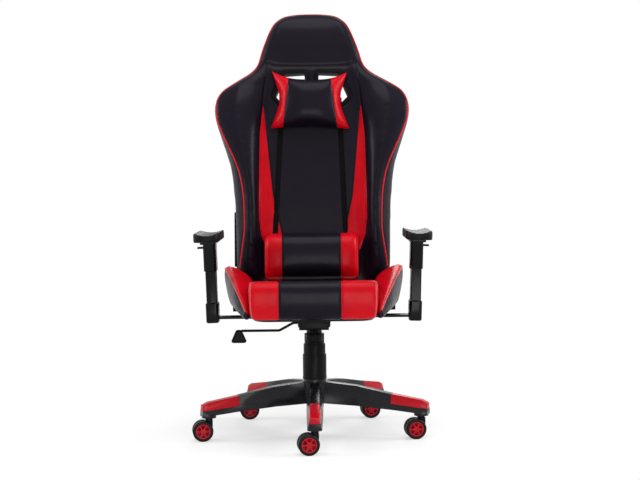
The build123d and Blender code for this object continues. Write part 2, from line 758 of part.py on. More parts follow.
bolt_spots = [(x, y) for x in (-BOLT_X, BOLT_X) for y in STRIP_Y]
bolt_spots += [(x, y) for x in (-ARM_BOLT_X, ARM_BOLT_X) for y in (-ARM_BOLT_Y, ARM_BOLT_Y)]
bolt_spots += [(x, y) for x in (-ARM_BOLT_X, ARM_BOLT_X) for y in hinge_bolt_y]
with BuildPart() as seat_frame:
    with BuildLine() as frame_line:
        FilletPolyline(
            (-FRAME_HALF_W, FRAME_REAR, FRAME_TUBE_Z),
            (-FRAME_HALF_W, FRAME_FRONT, FRAME_TUBE_Z),
            (FRAME_HALF_W, FRAME_FRONT, FRAME_TUBE_Z),
            (FRAME_HALF_W, FRAME_REAR, FRAME_TUBE_Z),
            radius=FRAME_BEND_R,
        )
    with BuildSketch(Plane(origin=frame_line.line @ 0, z_dir=frame_line.line % 0)):
        Circle(FRAME_TUBE_R)
        Circle(FRAME_TUBE_R - FRAME_TUBE_WALL, mode=Mode.SUBTRACT)
    sweep()
    with BuildSketch(Plane.XY.offset(STRIP_BOTTOM)):
        for strip_y in STRIP_Y:
            with Locations((0, strip_y)):
                Rectangle(2 * FRAME_HALF_W + STRIP_T, STRIP_W)
        with Locations((0, FRAME_REAR)):
            Rectangle(2 * FRAME_HALF_W + STRIP_T, REAR_STRIP_W, align=(Align.CENTER, Align.MAX))
        with Locations((-ARM_STRIP_X, 0), (ARM_STRIP_X, 0)):
            Rectangle(STRIP_W, ARM_STRIP_L)
        with Locations(*bolt_spots):
            Circle(BOLT_R + BOLT_PLAY, mode=Mode.SUBTRACT)
    extrude(amount=STRIP_T)
keep(seat_frame, "seat_frame")

# ---------------------------------------------------------------- seat upholstery

with BuildPart() as seat_cushion:
    with BuildSketch(Plane.YZ):
        with BuildLine():
            Polyline(
                (SEAT_FRONT, SEAT_FRONT_TOP - ROLL_DEPTH / 2),
                (SEAT_FRONT, ROLL_BOTTOM + ROLL_DEPTH / 3),
                (SEAT_FRONT + ROLL_DEPTH / 3, ROLL_BOTTOM),
                (SEAT_FRONT + ROLL_DEPTH, ROLL_BOTTOM),
                (SEAT_FRONT + ROLL_DEPTH, SEAT_UNDERSIDE),
                (SEAT_REAR, SEAT_UNDERSIDE),
                (SEAT_REAR, SEAT_REAR_TOP),
                (SEAT_FRONT + ROLL_DEPTH, SEAT_FRONT_TOP - 5),
            )
            roll_start = (SEAT_FRONT + ROLL_DEPTH, SEAT_FRONT_TOP - 5)
            roll_crest = (SEAT_FRONT + ROLL_DEPTH / 2, SEAT_FRONT_TOP)
            ThreePointArc(
                roll_start,
                roll_crest,
                (SEAT_FRONT, SEAT_FRONT_TOP - ROLL_DEPTH / 2),
            )
        make_face()
    extrude(amount=SEAT_HALF_W, both=True)
keep(seat_cushion, "seat_cushion")

for side, hand in SIDES:
    with BuildPart() as seat_bolster:
        for section_y, corners in ((SEAT_REAR, BOLSTER_REAR), (BOLSTER_FRONT, BOLSTER_TIP)):
            with BuildSketch(Plane.XZ.offset(-section_y)):
                with BuildLine():
                    Polyline(*[(side * x, z) for x, z in corners], close=True)
                make_face()
        loft(ruled=True)
    keep(seat_bolster, f"seat_bolster_{hand}")

# ---------------------------------------------------------------- armrests

splay_sin = math.sin(math.radians(ARM_SPLAY))
splay_cos = math.cos(math.radians(ARM_SPLAY))


def arm_plane(side, height):
    """Level of an armrest, tipped outward; its x is away from the sitter on the left."""
    return Plane(
        origin=(side * ARM_X, 0, SHROUD_BOTTOM),
        x_dir=(splay_cos, 0, -side * splay_sin),
        z_dir=(side * splay_sin, 0, splay_cos),
    ).offset(height - SHROUD_BOTTOM)


for side, hand in SIDES:
    with BuildPart() as arm_bracket:
        with BuildSketch(Plane.XY.offset(STRIP_BOTTOM)):
            bar_start = ARM_BOLT_X - 2 * BOLT_HEAD_R
            with Locations((side * (bar_start + ARM_X) / 2, 0)):
                Rectangle(ARM_X - bar_start, ARM_BAR_W)
            for bolt_y in (-ARM_BOLT_Y, ARM_BOLT_Y):
                with Locations((side * ARM_BOLT_X, bolt_y)):
                    Circle(BOLT_R + BOLT_PLAY, mode=Mode.SUBTRACT)
        extrude(amount=-ARM_BAR_T)
        with BuildSketch(arm_plane(side, STRIP_BOTTOM - ARM_BAR_T)):
            Rectangle(ARM_BAR_T, ARM_BAR_W)
        extrude(amount=BRACKET_LEG_TOP - STRIP_BOTTOM + ARM_BAR_T)
    keep(arm_bracket, f"arm_bracket_{hand}")

    with BuildPart() as arm_sleeve:
        with BuildSketch(arm_plane(side, SHROUD_BOTTOM)):
            RectangleRounded(SHROUD_W, SHROUD_D, SHROUD_W / 4)
        extrude(amount=SHROUD_TOP - SHROUD_BOTTOM)
        shroud_ends = faces().sort_by(Axis.Z)[-1].edges() + faces().sort_by(Axis.Z)[0].edges()
        chamfer(shroud_ends, SHROUD_CHAMFER)
        with BuildSketch(arm_plane(side, SHROUD_TOP)):
            RectangleRounded(COLUMN_W, COLUMN_D, COLUMN_WALL)
        extrude(amount=COLUMN_TOP - SHROUD_TOP)
        with BuildSketch(arm_plane(side, BRACKET_LEG_TOP + COLUMN_WALL)):
            Rectangle(COLUMN_W - 2 * COLUMN_WALL, COLUMN_D - 2 * COLUMN_WALL)
        extrude(amount=COLUMN_TOP, mode=Mode.SUBTRACT)
        add(arm_bracket.part, mode=Mode.SUBTRACT)
    keep(arm_sleeve, f"arm_sleeve_{hand}")

    pin_plane = arm_plane(side, TRIGGER_Z)
    pin_origin = pin_plane.from_local_coords((side * TRIGGER_PIVOT_X, 0, 0))
    pin_axis_plane = Plane(origin=pin_origin, x_dir=(1, 0, 0), z_dir=(0, 1, 0))
    with BuildPart() as arm_post:
        with BuildSketch(arm_plane(side, SLEEVE_BOTTOM)):
            RectangleRounded(SLEEVE_W, SLEEVE_D, SLEEVE_W / 4)
            Rectangle(
                SLEEVE_W - 2 * SLEEVE_WALL,
                SLEEVE_D - 2 * SLEEVE_WALL,
                mode=Mode.SUBTRACT,
            )
        extrude(amount=SLEEVE_TOP - SLEEVE_BOTTOM)
        with BuildSketch(arm_plane(side, SLEEVE_CEILING)):
            Rectangle(SLEEVE_W - 2 * SLEEVE_WALL, SLEEVE_D - 2 * SLEEVE_WALL)
        extrude(amount=SLEEVE_TOP - SLEEVE_CEILING)
        with BuildSketch(arm_plane(side, POST_BOTTOM)):
            Rectangle(
                COLUMN_W - 2 * COLUMN_WALL - 2 * PLAY,
                COLUMN_D - 2 * COLUMN_WALL - 2 * PLAY,
            )
        extrude(amount=SLEEVE_CEILING - POST_BOTTOM)
        with BuildSketch(arm_plane(side, SLEEVE_TOP)):
            with Locations((0, ARM_PAD_Y)):
                RectangleRounded(1.5 * COLUMN_W, 2.5 * COLUMN_D, SLEEVE_W / 4)
        extrude(amount=PAD_BOTTOM - PLAY - SLEEVE_TOP)
        with BuildSketch(arm_plane(side, PAD_BOTTOM - 1)):
            with Locations((0, ARM_PAD_Y)):
                Circle(PAD_PIVOT_R)
        extrude(amount=(PAD_TOP - PAD_BOTTOM) / 3)
        trigger_slot = 2 * (TRIGGER_HALF_L + PLAY)
        with BuildSketch(arm_plane(side, TRIGGER_Z - TRIGGER_T)):
            with Locations((side * SLEEVE_W / 2, 0)):
                Rectangle(SLEEVE_W - TRIGGER_PIVOT_X, trigger_slot)
        extrude(amount=2 * TRIGGER_T, mode=Mode.SUBTRACT)
        with BuildSketch(pin_axis_plane):
            Circle(TRIGGER_PIN_R + RUN)
        extrude(amount=TRIGGER_HALF_L + TRIGGER_PIN_REACH + PLAY, both=True, mode=Mode.SUBTRACT)
    keep(arm_post, f"arm_post_{hand}")

    with BuildPart() as arm_trigger:
        with BuildSketch(pin_axis_plane):
            Circle(TRIGGER_PIN_R)
        extrude(amount=TRIGGER_HALF_L + TRIGGER_PIN_REACH, both=True)
        with BuildSketch(arm_plane(side, TRIGGER_Z - TRIGGER_T / 2)):
            with Locations((side * (TRIGGER_PIVOT_X + TRIGGER_REACH) / 2, 0)):
                RectangleRounded(
                    TRIGGER_REACH - TRIGGER_PIVOT_X + TRIGGER_T,
                    2 * TRIGGER_HALF_L,
                    2,
                )
        extrude(amount=TRIGGER_T)
    keep(arm_trigger, f"arm_trigger_{hand}")

    with BuildPart() as arm_pad:
        with BuildSketch(arm_plane(side, PAD_BOTTOM)):
            with Locations((0, ARM_PAD_Y)):
                RectangleRounded(2 * PAD_HALF_W, 2 * PAD_HALF_L, PAD_CORNER_R)
        extrude(amount=PAD_TOP - PAD_BOTTOM)
        saddle_r = (PAD_HALF_W**2 + PAD_SADDLE**2) / (2 * PAD_SADDLE)
        with BuildSketch(Plane.XZ.offset(-ARM_PAD_Y)):
            saddle_centre = arm_plane(side, PAD_TOP).from_local_coords((0, 0, 0))
            with Locations((saddle_centre.X, saddle_centre.Z + saddle_r - PAD_SADDLE)):
                Circle(saddle_r - 2)
        extrude(amount=PAD_HALF_L, both=True, mode=Mode.SUBTRACT)
        with BuildSketch(arm_plane(side, PAD_BOTTOM)):
            with Locations((0, ARM_PAD_Y)):
                Circle(PAD_PIVOT_R + RUN)
        extrude(amount=(PAD_TOP - PAD_BOTTOM) / 3, mode=Mode.SUBTRACT)
    keep(arm_pad, f"arm_pad_{hand}")

# ---------------------------------------------------------------- recline hinge

for side, hand in SIDES:
    plate_x = BACK_PLATE_X + HINGE_PLATE_T + PLAY
    with BuildPart() as recliner:
        with BuildSketch(Plane.YZ.offset(side * plate_x)):
            with Locations((PIVOT_Y, PIVOT_Z)):
                Circle(3 * HINGE_PIN_R)
            with Locations((SEAT_REAR + 3, STRIP_BOTTOM - HINGE_PLATE_T)):
                Rectangle(60, HINGE_PLATE_T, align=(Align.MIN, Align.MIN))
            make_hull()
        extrude(amount=side * HINGE_PLATE_T)
        with BuildSketch(Plane.XY.offset(STRIP_BOTTOM)):
            flange_start = ARM_BOLT_X - 2 * BOLT_HEAD_R
            flange_end = plate_x + HINGE_PLATE_T
            flange_y = FRAME_REAR - 36
            with Locations((side * (flange_start + flange_end) / 2, flange_y)):
                Rectangle(
                    flange_end - flange_start,
                    SEAT_REAR + RECLINER_REACH - flange_y,
                    align=(Align.CENTER, Align.MIN),
                )
            for bolt_y in hinge_bolt_y:
                with Locations((side * ARM_BOLT_X, bolt_y)):
                    Circle(BOLT_R + BOLT_PLAY, mode=Mode.SUBTRACT)
        extrude(amount=-HINGE_PLATE_T)
        with BuildSketch(Plane.YZ.offset(side * (BACK_PLATE_X - PLAY - HINGE_SPACER_T))):
            with Locations((PIVOT_Y, PIVOT_Z)):
                Circle(1.4 * HINGE_PIN_R)
        extrude(amount=side * HINGE_SPACER_T)
        with BuildSketch(Plane.YZ.offset(side * (BACK_PLATE_X - PLAY))):
            with Locations((PIVOT_Y, PIVOT_Z)):
                Circle(HINGE_PIN_R)
        extrude(amount=side * (LEVER_OUT_X - BACK_PLATE_X))
    keep(recliner, f"recliner_{hand}")

    with BuildPart() as hinge_cover:
        with BuildSketch(Plane.YZ.offset(side * flange_end)) as cover_outline:
            with BuildLine():
                Polyline(*[(PIVOT_Y + y, PIVOT_Z + z) for y, z in HINGE_COVER], close=True)
            make_face()
            fillet(vertices(), HINGE_COVER_R)
        extrude(amount=side * (COVER_OUTER_X - flange_end))
        cover_face = faces().sort_by(Axis.X)[0 if side > 0 else -1]
        offset(amount=-COVER_WALL - 1, openings=cover_face)
        with BuildSketch(Plane.YZ.offset(side * flange_end)):
            with Locations((PIVOT_Y, PIVOT_Z - LEVER_SLOT_DROP)):
                Rectangle(200, 100, align=(Align.CENTER, Align.MIN))
        extrude(amount=side * (LEVER_OUT_X + PLAY - flange_end), mode=Mode.SUBTRACT)
    keep(hinge_cover, f"hinge_cover_{hand}")

# ---------------------------------------------------------------- back

with BuildPart() as back_frame:
    tube_side = BACK_TUBE_X
    tube_waist = OPENING[1][1] - BACK_TUBE_WAIST_DROP
    tube_shoulder = OPENING[3][1] - BEZEL_FLANGE - BEZEL_PROUD
    tube_head = BACK_HEIGHT - BACK_TUBE_HEAD_DROP
    shoulder_x = OPENING[3][0] + BACK_TUBE_R + BACK_TUBE_MARGIN
    tube_plane = BACK_PLANE.offset((BACK_FACE + BACK_REAR) / 2)
    with BuildLine(tube_plane) as back_line:
        FilletPolyline(
            (-tube_side, BACK_TUBE_FOOT),
            (-tube_side, tube_waist),
            (-shoulder_x, tube_shoulder),
            (-shoulder_x + BACK_TUBE_TAPER, tube_head),
            (shoulder_x - BACK_TUBE_TAPER, tube_head),
            (shoulder_x, tube_shoulder),
            (tube_side, tube_waist),
            (tube_side, BACK_TUBE_FOOT),
            radius=BACK_TUBE_BEND_R,
        )
    with BuildSketch(Plane(origin=back_line.line @ 0, z_dir=back_line.line % 0)):
        Circle(BACK_TUBE_R)
        Circle(BACK_TUBE_R - FRAME_TUBE_WALL, mode=Mode.SUBTRACT)
    sweep()
    bar_depth = STRIP_T
    with BuildSketch(tube_plane.offset(-bar_depth / 2)):
        for bar_height in (*BACK_BARS, OPENING[2][1] - BACK_BAR_DROP):
            with Locations((0, bar_height)):
                Rectangle(2 * (tube_side - BACK_TUBE_R + WELD_SINK + 1), STRIP_W)
    extrude(amount=bar_depth)
    for side, hand in SIDES:
        with BuildSketch(BACK_SIDE.offset(-side * BACK_PLATE_X)):
            Circle(3 * HINGE_PIN_R)
            with Locations(((BACK_FACE + BACK_REAR) / 2, HINGE_PLATE_TOP)):
                Rectangle(2 * BACK_TUBE_R, 1)
            make_hull()
            Circle(HINGE_PIN_R + RUN, mode=Mode.SUBTRACT)
        extrude(amount=-side * HINGE_PLATE_T)
        with BuildSketch(BACK_SIDE.offset(-side * (tube_side + BACK_TUBE_R - 2))):
            with Locations(((BACK_FACE + BACK_REAR) / 2, HINGE_WELD_HEIGHT)):
                Rectangle(BACK_TUBE_R, HINGE_WELD_L)
        extrude(amount=-side * (BACK_PLATE_X - tube_side - BACK_TUBE_R + 2))
keep(back_frame, "back_frame")


def corner_at(vertex, half_width, height):
    """True for the outline's two corners at a height, one on each side."""
    local = BACK_PLANE.to_local_coords(vertex.center())
    return abs(abs(local.X) - half_width) < 0.1 and abs(local.Y - height) < 0.1


def back_outline():
    """Outline of the back from its neck at the hinge up to the rounded head."""
    corners = [(x, w) for x, w, _ in BACK_CORNERS]
    top = (0, BACK_HEIGHT)
    with BuildSketch(BACK_PLANE) as outline:
        with BuildLine():
            ThreePointArc((-corners[0][0], corners[0][1]), top, corners[0])
            Polyline(*corners, BACK_FOOT, (-BACK_FOOT[0], BACK_FOOT[1]))
            mirrored = [(-x, w) for x, w in corners]
            Polyline((-BACK_FOOT[0], BACK_FOOT[1]), *reversed(mirrored))
        make_face()
        for x, w, rounding in BACK_CORNERS:
            at_corner = [v for v in vertices() if corner_at(v, x, w)]
            fillet(at_corner, rounding)
    return outline.sketch


def opening_outline(mirror_side, grow=0):
    """Rounded outline of one harness opening, grown or shrunk."""
    with BuildSketch(BACK_PLANE) as outline:
        with BuildLine():
            Polyline(*[(mirror_side * x, w) for x, w in OPENING], close=True)
        make_face()
        fillet(vertices(), OPENING_R)
        if grow:
            offset(amount=grow)
    return outline.sketch


with BuildPart() as harness_bezels:
    for mirror_side in (1, -1):
        add(extrude(opening_outline(mirror_side), BACK_FACE + BEZEL_PROUD, mode=Mode.PRIVATE))
        add(extrude(opening_outline(mirror_side), BACK_REAR - BEZEL_PROUD, mode=Mode.PRIVATE))
        for face_depth, direction in ((BACK_FACE, 1), (BACK_REAR, -1)):
            flange = opening_outline(mirror_side, BEZEL_FLANGE)
            flange = flange.moved(Location(BACK_PLANE.z_dir * face_depth))
            add(extrude(flange, direction * BEZEL_PROUD, mode=Mode.PRIVATE))
        hole = opening_outline(mirror_side, -BEZEL_T)
        add(extrude(hole, HEAD_PILLOW_T, both=True, mode=Mode.PRIVATE), mode=Mode.SUBTRACT)
keep(harness_bezels, "harness_bezels")

with BuildPart() as wings:
    with BuildSketch(BACK_PLANE):
        for mirror_side in (1, -1):
            with BuildLine():
                outer_x = mirror_side * BACK_HEIGHT / 2
                inner = [(mirror_side * x, w) for x, w in WING_INNER]
                wing_root = FilletPolyline(*inner, radius=WING_INNER_R)
                Polyline(
                    wing_root @ 1,
                    (outer_x, WING_INNER[-1][1]),
                    (outer_x, WING_INNER[0][1]),
                    wing_root @ 0,
                )
            make_face()
    extrude(amount=WING_CREST[2][0])
    add(extrude(back_outline(), WING_CREST[2][0], mode=Mode.PRIVATE), mode=Mode.INTERSECT)
    with BuildSketch(BACK_SIDE):
        with BuildLine():
            crest = FilletPolyline(*WING_CREST, radius=WING_CREST_R)
            Polyline(crest @ 1, (0, WING_CREST[-1][1]), (0, WING_CREST[0][1]), crest @ 0)
        make_face()
    extrude(amount=BACK_HEIGHT, both=True, mode=Mode.INTERSECT)

with BuildPart() as backrest:
    add(extrude(back_outline(), BACK_FACE, mode=Mode.PRIVATE))
    add(extrude(back_outline(), BACK_REAR, mode=Mode.PRIVATE))
    add(wings.part)
    # Between the hinge plates the foam is narrow, and its end is round to turn clear of the seat.
    with BuildSketch(BACK_SIDE):
        with Locations(((BACK_FACE + BACK_REAR) / 2, 0)):
            Circle(BACK_DEPTH / 2)
            Rectangle(BACK_DEPTH, NECK_TOP + 1, align=(Align.CENTER, Align.MIN))
    extrude(amount=NECK_HALF_W, both=True)
    # Room beside the rear edge for the recline lever.
    lever_room = LEVER_GRIP_END - LEVER_GRIP_START + LEVER_GRIP_ROOM
    for mirror_side in (1, -1):
        with BuildSketch(BACK_SIDE.offset(mirror_side * (LEVER_IN_X - PLAY))):
            with Locations((LEVER_GRIP_V - 6, (LEVER_GRIP_START + LEVER_GRIP_END) / 2)):
                Rectangle(LEVER_GRIP_W + 16, lever_room)
        extrude(amount=mirror_side * LEVER_IN_X, mode=Mode.SUBTRACT)
    for mirror_side in (1, -1):
        hole = opening_outline(mirror_side)
        add(extrude(hole, HEAD_PILLOW_T, both=True, mode=Mode.PRIVATE), mode=Mode.SUBTRACT)
    add(harness_bezels.part, mode=Mode.SUBTRACT)
keep(backrest, "backrest")

with BuildPart() as recline_lever:
    with BuildSketch(BACK_SIDE.offset(LEVER_IN_X)):
        Circle(2 * HINGE_PIN_R)
        with Locations((LEVER_GRIP_V, LEVER_GRIP_START)):
            Rectangle(LEVER_GRIP_W * 0.7, 1)
        make_hull()
        with Locations((LEVER_GRIP_V, LEVER_GRIP_START)):
            Rectangle(LEVER_GRIP_W * 0.7, 20)
        Circle(HINGE_PIN_R + RUN, mode=Mode.SUBTRACT)
    extrude(amount=(LEVER_OUT_X - LEVER_IN_X) / 2)
    with BuildSketch(BACK_SIDE.offset(LEVER_IN_X)):
        with Locations((LEVER_GRIP_V, (LEVER_GRIP_START + LEVER_GRIP_END) / 2)):
            RectangleRounded(
                LEVER_GRIP_W,
                LEVER_GRIP_END - LEVER_GRIP_START,
                LEVER_GRIP_W / 3,
            )
    extrude(amount=LEVER_OUT_X - LEVER_IN_X)
keep(recline_lever, "recline_lever")

# ---------------------------------------------------------------- pillows

pillow_plane = BACK_PLANE.offset(BACK_FACE + BEZEL_PROUD + STRAP_T + PLAY)
with BuildPart() as head_pillow:
    with BuildSketch(pillow_plane):
        with BuildLine():
            middle = (HEAD_PILLOW_BOTTOM + HEAD_PILLOW_TOP) / 2
            Polyline(
                (0, HEAD_PILLOW_TOP - HEAD_PILLOW_DIP),
                (HEAD_PILLOW_HALF_W, HEAD_PILLOW_TOP),
                (HEAD_PILLOW_WAIST, middle),
                (HEAD_PILLOW_HALF_W, HEAD_PILLOW_BOTTOM),
                (0, HEAD_PILLOW_BOTTOM + HEAD_PILLOW_RISE),
                (-HEAD_PILLOW_HALF_W, HEAD_PILLOW_BOTTOM),
                (-HEAD_PILLOW_WAIST, middle),
                (-HEAD_PILLOW_HALF_W, HEAD_PILLOW_TOP),
                close=True,
            )
        make_face()
    extrude(amount=HEAD_PILLOW_T)
keep(head_pillow, "head_pillow")

with BuildPart() as lumbar_pillow:
    with BuildSketch(pillow_plane):
        with Locations((0, (LUMBAR_BOTTOM + LUMBAR_TOP) / 2)):
            Rectangle(2 * LUMBAR_HALF_W, LUMBAR_TOP - LUMBAR_BOTTOM)
    extrude(amount=LUMBAR_T)
    fillet(edges().filter_by(Axis.X), LUMBAR_EDGE_R)
keep(lumbar_pillow, "lumbar_pillow")

# The head pillow's strap loops behind the bar between the openings; the lumbar pillow's two
# straps run up the face of the back and turn in over the lower edges of the openings.
strap_height = OPENING[1][1] + HEAD_STRAP_RISE
head_strap_x = OPENING[0][0] + BEZEL_T + HEAD_STRAP_IN
head_strap_back = BACK_REAR - BEZEL_PROUD - PLAY
lumbar_strap_top = OPENING[2][1] + BEZEL_T + OPENING_R
lumbar_strap_x = OPENING[2][0] - LUMBAR_STRAP_IN
with BuildPart() as pillow_straps:
    with BuildSketch(BACK_PLANE.offset(head_strap_back)):
        with Locations((0, strap_height)):
            Rectangle(2 * head_strap_x + STRAP_T, STRAP_W)
    extrude(amount=-STRAP_T)
    with BuildSketch(BACK_PLANE.offset(head_strap_back - STRAP_T)):
        for mirror_side in (1, -1):
            with Locations((mirror_side * head_strap_x, strap_height)):
                Rectangle(STRAP_T, STRAP_W)
    extrude(amount=BACK_FACE + BEZEL_PROUD + STRAP_T - head_strap_back + STRAP_T)
    with BuildSketch(BACK_PLANE.offset(BACK_FACE + BEZEL_PROUD)):
        for mirror_side in (1, -1):
            with BuildLine():
                Polyline(
                    (mirror_side * (STRAP_FOOT_X - STRAP_W / 2), LUMBAR_TOP - 2 * STRAP_W),
                    (mirror_side * (STRAP_FOOT_X + STRAP_W / 2), LUMBAR_TOP - 2 * STRAP_W),
                    (mirror_side * (lumbar_strap_x + STRAP_W / 2), lumbar_strap_top),
                    (mirror_side * (lumbar_strap_x - STRAP_W / 2), lumbar_strap_top),
                    close=True,
                )
            make_face()
    extrude(amount=STRAP_T)
    with BuildSketch(BACK_PLANE.offset(BACK_FACE + BEZEL_PROUD + STRAP_T)):
        for mirror_side in (1, -1):
            with Locations((mirror_side * lumbar_strap_x, lumbar_strap_top)):
                Rectangle(STRAP_W, STRAP_T, align=(Align.CENTER, Align.MAX))
    extrude(amount=-BACK_DEPTH)
keep(pillow_straps, "pillow_straps")

# ---------------------------------------------------------------- casters

wheel_in_y = WHEEL_GAP / 2
axle_half = wheel_in_y + WHEEL_W - WHEEL_DISC_T / 2
neck_top = TIP_BOSS_BOTTOM - PLAY
shoulder_top = 2 * WHEEL_R + 2

# One caster about its own stem, with its wheels trailing along +X.
with BuildPart() as caster_body:
    with BuildSketch(Plane.XZ):
        with Locations((CASTER_TRAIL, WHEEL_R)):
            Circle(CASTER_WEB_R)
        with Locations((0, WHEEL_R + CASTER_WEB_R)):
            Rectangle(
                2 * CASTER_NECK_R,
                shoulder_top - WHEEL_R - CASTER_WEB_R,
                align=(Align.CENTER, Align.MIN),
            )
        make_hull()
    extrude(amount=wheel_in_y - PLAY, both=True)
    with BuildSketch(Plane.XY.offset(WHEEL_R + MUDGUARD_LIFT)):
        RectangleRounded(2 * CASTER_NECK_R, CASTER_SHOULDER_W, 5)
    extrude(amount=shoulder_top - WHEEL_R - MUDGUARD_LIFT)
    for wheel_side in (1, -1):
        with BuildSketch(Plane.XZ.offset(wheel_side * (wheel_in_y - PLAY))):
            with Locations((CASTER_TRAIL, WHEEL_R)):
                Circle(WHEEL_R + MUDGUARD_GAP)
        extrude(amount=wheel_side * WHEEL_W * 2, mode=Mode.SUBTRACT)
    with BuildSketch(Plane.XY.offset(shoulder_top)):
        Circle(CASTER_NECK_R)
    extrude(amount=neck_top - shoulder_top)
    with BuildSketch(Plane.XZ):
        with Locations((CASTER_TRAIL, WHEEL_R)):
            Circle(AXLE_R)
    extrude(amount=WHEEL_W, both=True, mode=Mode.SUBTRACT)

with BuildPart() as caster_stem:
    with BuildSketch(Plane.XY.offset(neck_top)):
        Circle(STEM_R)
    extrude(amount=STEM_SOCKET_DEPTH - 1)
    chamfer(faces().sort_by(Axis.Z)[-1].edges(), 1)

with BuildPart() as caster_axle:
    with BuildSketch(Plane.XZ):
        with Locations((CASTER_TRAIL, WHEEL_R)):
            Circle(AXLE_R)
    extrude(amount=axle_half, both=True)


def caster_wheel(wheel_side):
    """Tyre and spoked hub of one wheel, on one side of the caster's web."""
    inner_face = Plane.XZ.offset(wheel_side * wheel_in_y)
    outer_disc = Plane.XZ.offset(wheel_side * (wheel_in_y + WHEEL_W - WHEEL_DISC_T))
    with BuildPart() as tyre:
        with BuildSketch(inner_face):
            with Locations((CASTER_TRAIL, WHEEL_R)):
                Circle(WHEEL_R)
                Circle(RIM_R, mode=Mode.SUBTRACT)
        extrude(amount=wheel_side * WHEEL_W)
        tread_edges = edges().filter_by(GeomType.CIRCLE)
        chamfer(tread_edges.filter_by(lambda edge: edge.radius > RIM_R + 1), TREAD_CHAMFER)
        with BuildSketch(inner_face):
            with Locations((CASTER_TRAIL, WHEEL_R)):
                Circle(RIM_R + 1)
                Circle(WHEEL_BOSS_R, mode=Mode.SUBTRACT)
        extrude(amount=wheel_side * WHEEL_WEB_T)
    with BuildPart() as hub:
        with BuildSketch(inner_face):
            with Locations((CASTER_TRAIL, WHEEL_R)):
                Circle(WHEEL_BOSS_R)
        extrude(amount=wheel_side * WHEEL_W)
        with BuildSketch(outer_disc):
            with Locations((CASTER_TRAIL, WHEEL_R)):
                Circle(RIM_R)
                Circle(RIM_R - RIM_FLANGE, mode=Mode.SUBTRACT)
                with PolarLocations(0, SPOKE_COUNT // 2):
                    Rectangle(2 * RIM_R - 2, SPOKE_W)
        extrude(amount=wheel_side * WHEEL_DISC_T)
        with BuildSketch(inner_face):
            with Locations((CASTER_TRAIL, WHEEL_R)):
                Circle(AXLE_R + RUN)
        extrude(amount=wheel_side * (axle_half - wheel_in_y + PLAY), mode=Mode.SUBTRACT)
    return tyre.part, hub.part


def stood_at(stand, piece):
    """A copy of a finished piece, moved from the origin to its leg."""
    with BuildPart() as copy:
        with Locations(stand):
            add(piece)
    return copy


caster_wheels = {"a": caster_wheel(1), "b": caster_wheel(-1)}
for number in range(LEG_COUNT):
    leg_angle = math.radians(FRONT_LEG_ANGLE + 360 / LEG_COUNT * number)
    stem_x = STEM_CIRCLE_R * math.cos(leg_angle)
    stem_y = STEM_CIRCLE_R * math.sin(leg_angle)
    stand = Location((stem_x, stem_y, 0), (0, 0, CASTER_YAW))
    frame_pieces = (caster_body.part, caster_stem.part, caster_axle.part)
    caster_frame = [stood_at(stand, piece) for piece in frame_pieces]
    keep_together(caster_frame, f"caster_{number + 1}_frame")
    for letter, pieces in caster_wheels.items():
        wheel = [stood_at(stand, piece) for piece in pieces]
        keep_together(wheel, f"caster_{number + 1}_wheel_{letter}")
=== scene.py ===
import json
import math

import bmesh
import bpy
import numpy as np
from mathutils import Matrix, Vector
from mathutils.kdtree import KDTree


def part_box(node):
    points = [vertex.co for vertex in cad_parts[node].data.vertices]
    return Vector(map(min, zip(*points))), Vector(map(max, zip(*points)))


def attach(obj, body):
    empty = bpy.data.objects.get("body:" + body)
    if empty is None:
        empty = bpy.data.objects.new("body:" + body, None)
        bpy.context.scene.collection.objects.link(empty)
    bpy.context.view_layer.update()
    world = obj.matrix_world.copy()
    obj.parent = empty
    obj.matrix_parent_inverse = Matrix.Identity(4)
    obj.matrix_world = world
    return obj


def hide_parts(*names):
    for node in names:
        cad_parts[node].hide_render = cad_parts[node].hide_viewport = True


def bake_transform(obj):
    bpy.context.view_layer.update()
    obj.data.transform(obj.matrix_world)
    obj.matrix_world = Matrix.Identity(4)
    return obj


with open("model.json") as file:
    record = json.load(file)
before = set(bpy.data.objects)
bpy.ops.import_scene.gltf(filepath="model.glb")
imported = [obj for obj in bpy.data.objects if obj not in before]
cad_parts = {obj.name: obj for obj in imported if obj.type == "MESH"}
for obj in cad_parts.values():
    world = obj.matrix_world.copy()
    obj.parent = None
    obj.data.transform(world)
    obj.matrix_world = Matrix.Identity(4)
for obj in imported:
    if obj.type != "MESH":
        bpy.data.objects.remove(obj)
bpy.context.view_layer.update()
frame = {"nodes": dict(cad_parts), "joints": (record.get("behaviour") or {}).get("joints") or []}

# A gaming chair on a star base. Metres, +Z up, the sitter faces -Y, the sitter's left is +X.

# ---- places taken from the frame

NODES = frame["nodes"]
JOINTS = {joint["name"]: joint for joint in frame["joints"]}
HINGE = Vector(JOINTS["recline"]["pos_m"])
LEAN = math.radians(8.5)
SEAT_LOW, SEAT_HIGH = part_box("seat_cushion")
SIDES = ((1, "left"), (-1, "right"))

# ---- helpers for shapes


def track(*points):
    """A smooth function through (place, value) points, which never overshoots them."""
    places, values = np.array(points).T
    steps = np.diff(places)
    slopes = np.diff(values) / steps
    both = slopes[:-1] + slopes[1:]
    agree = slopes[:-1] * slopes[1:] > 0
    tangents = np.zeros(len(places))
    tangents[1:-1] = np.where(agree, 2 * slopes[:-1] * slopes[1:] / np.where(agree, both, 1), 0)
    tangents[0] = slopes[0]
    tangents[-1] = slopes[-1]

    def value_at(place):
        place = np.clip(place, places[0], places[-1])
        i = np.clip(np.searchsorted(places, place) - 1, 0, len(steps) - 1)
        t = (place - places[i]) / steps[i]
        start = (1 + 2 * t) * (1 - t) ** 2 * values[i] + t * (1 - t) ** 2 * steps[i] * tangents[i]
        end = t * t * (3 - 2 * t) * values[i + 1] + t * t * (t - 1) * steps[i] * tangents[i + 1]
        return start + end

    return value_at


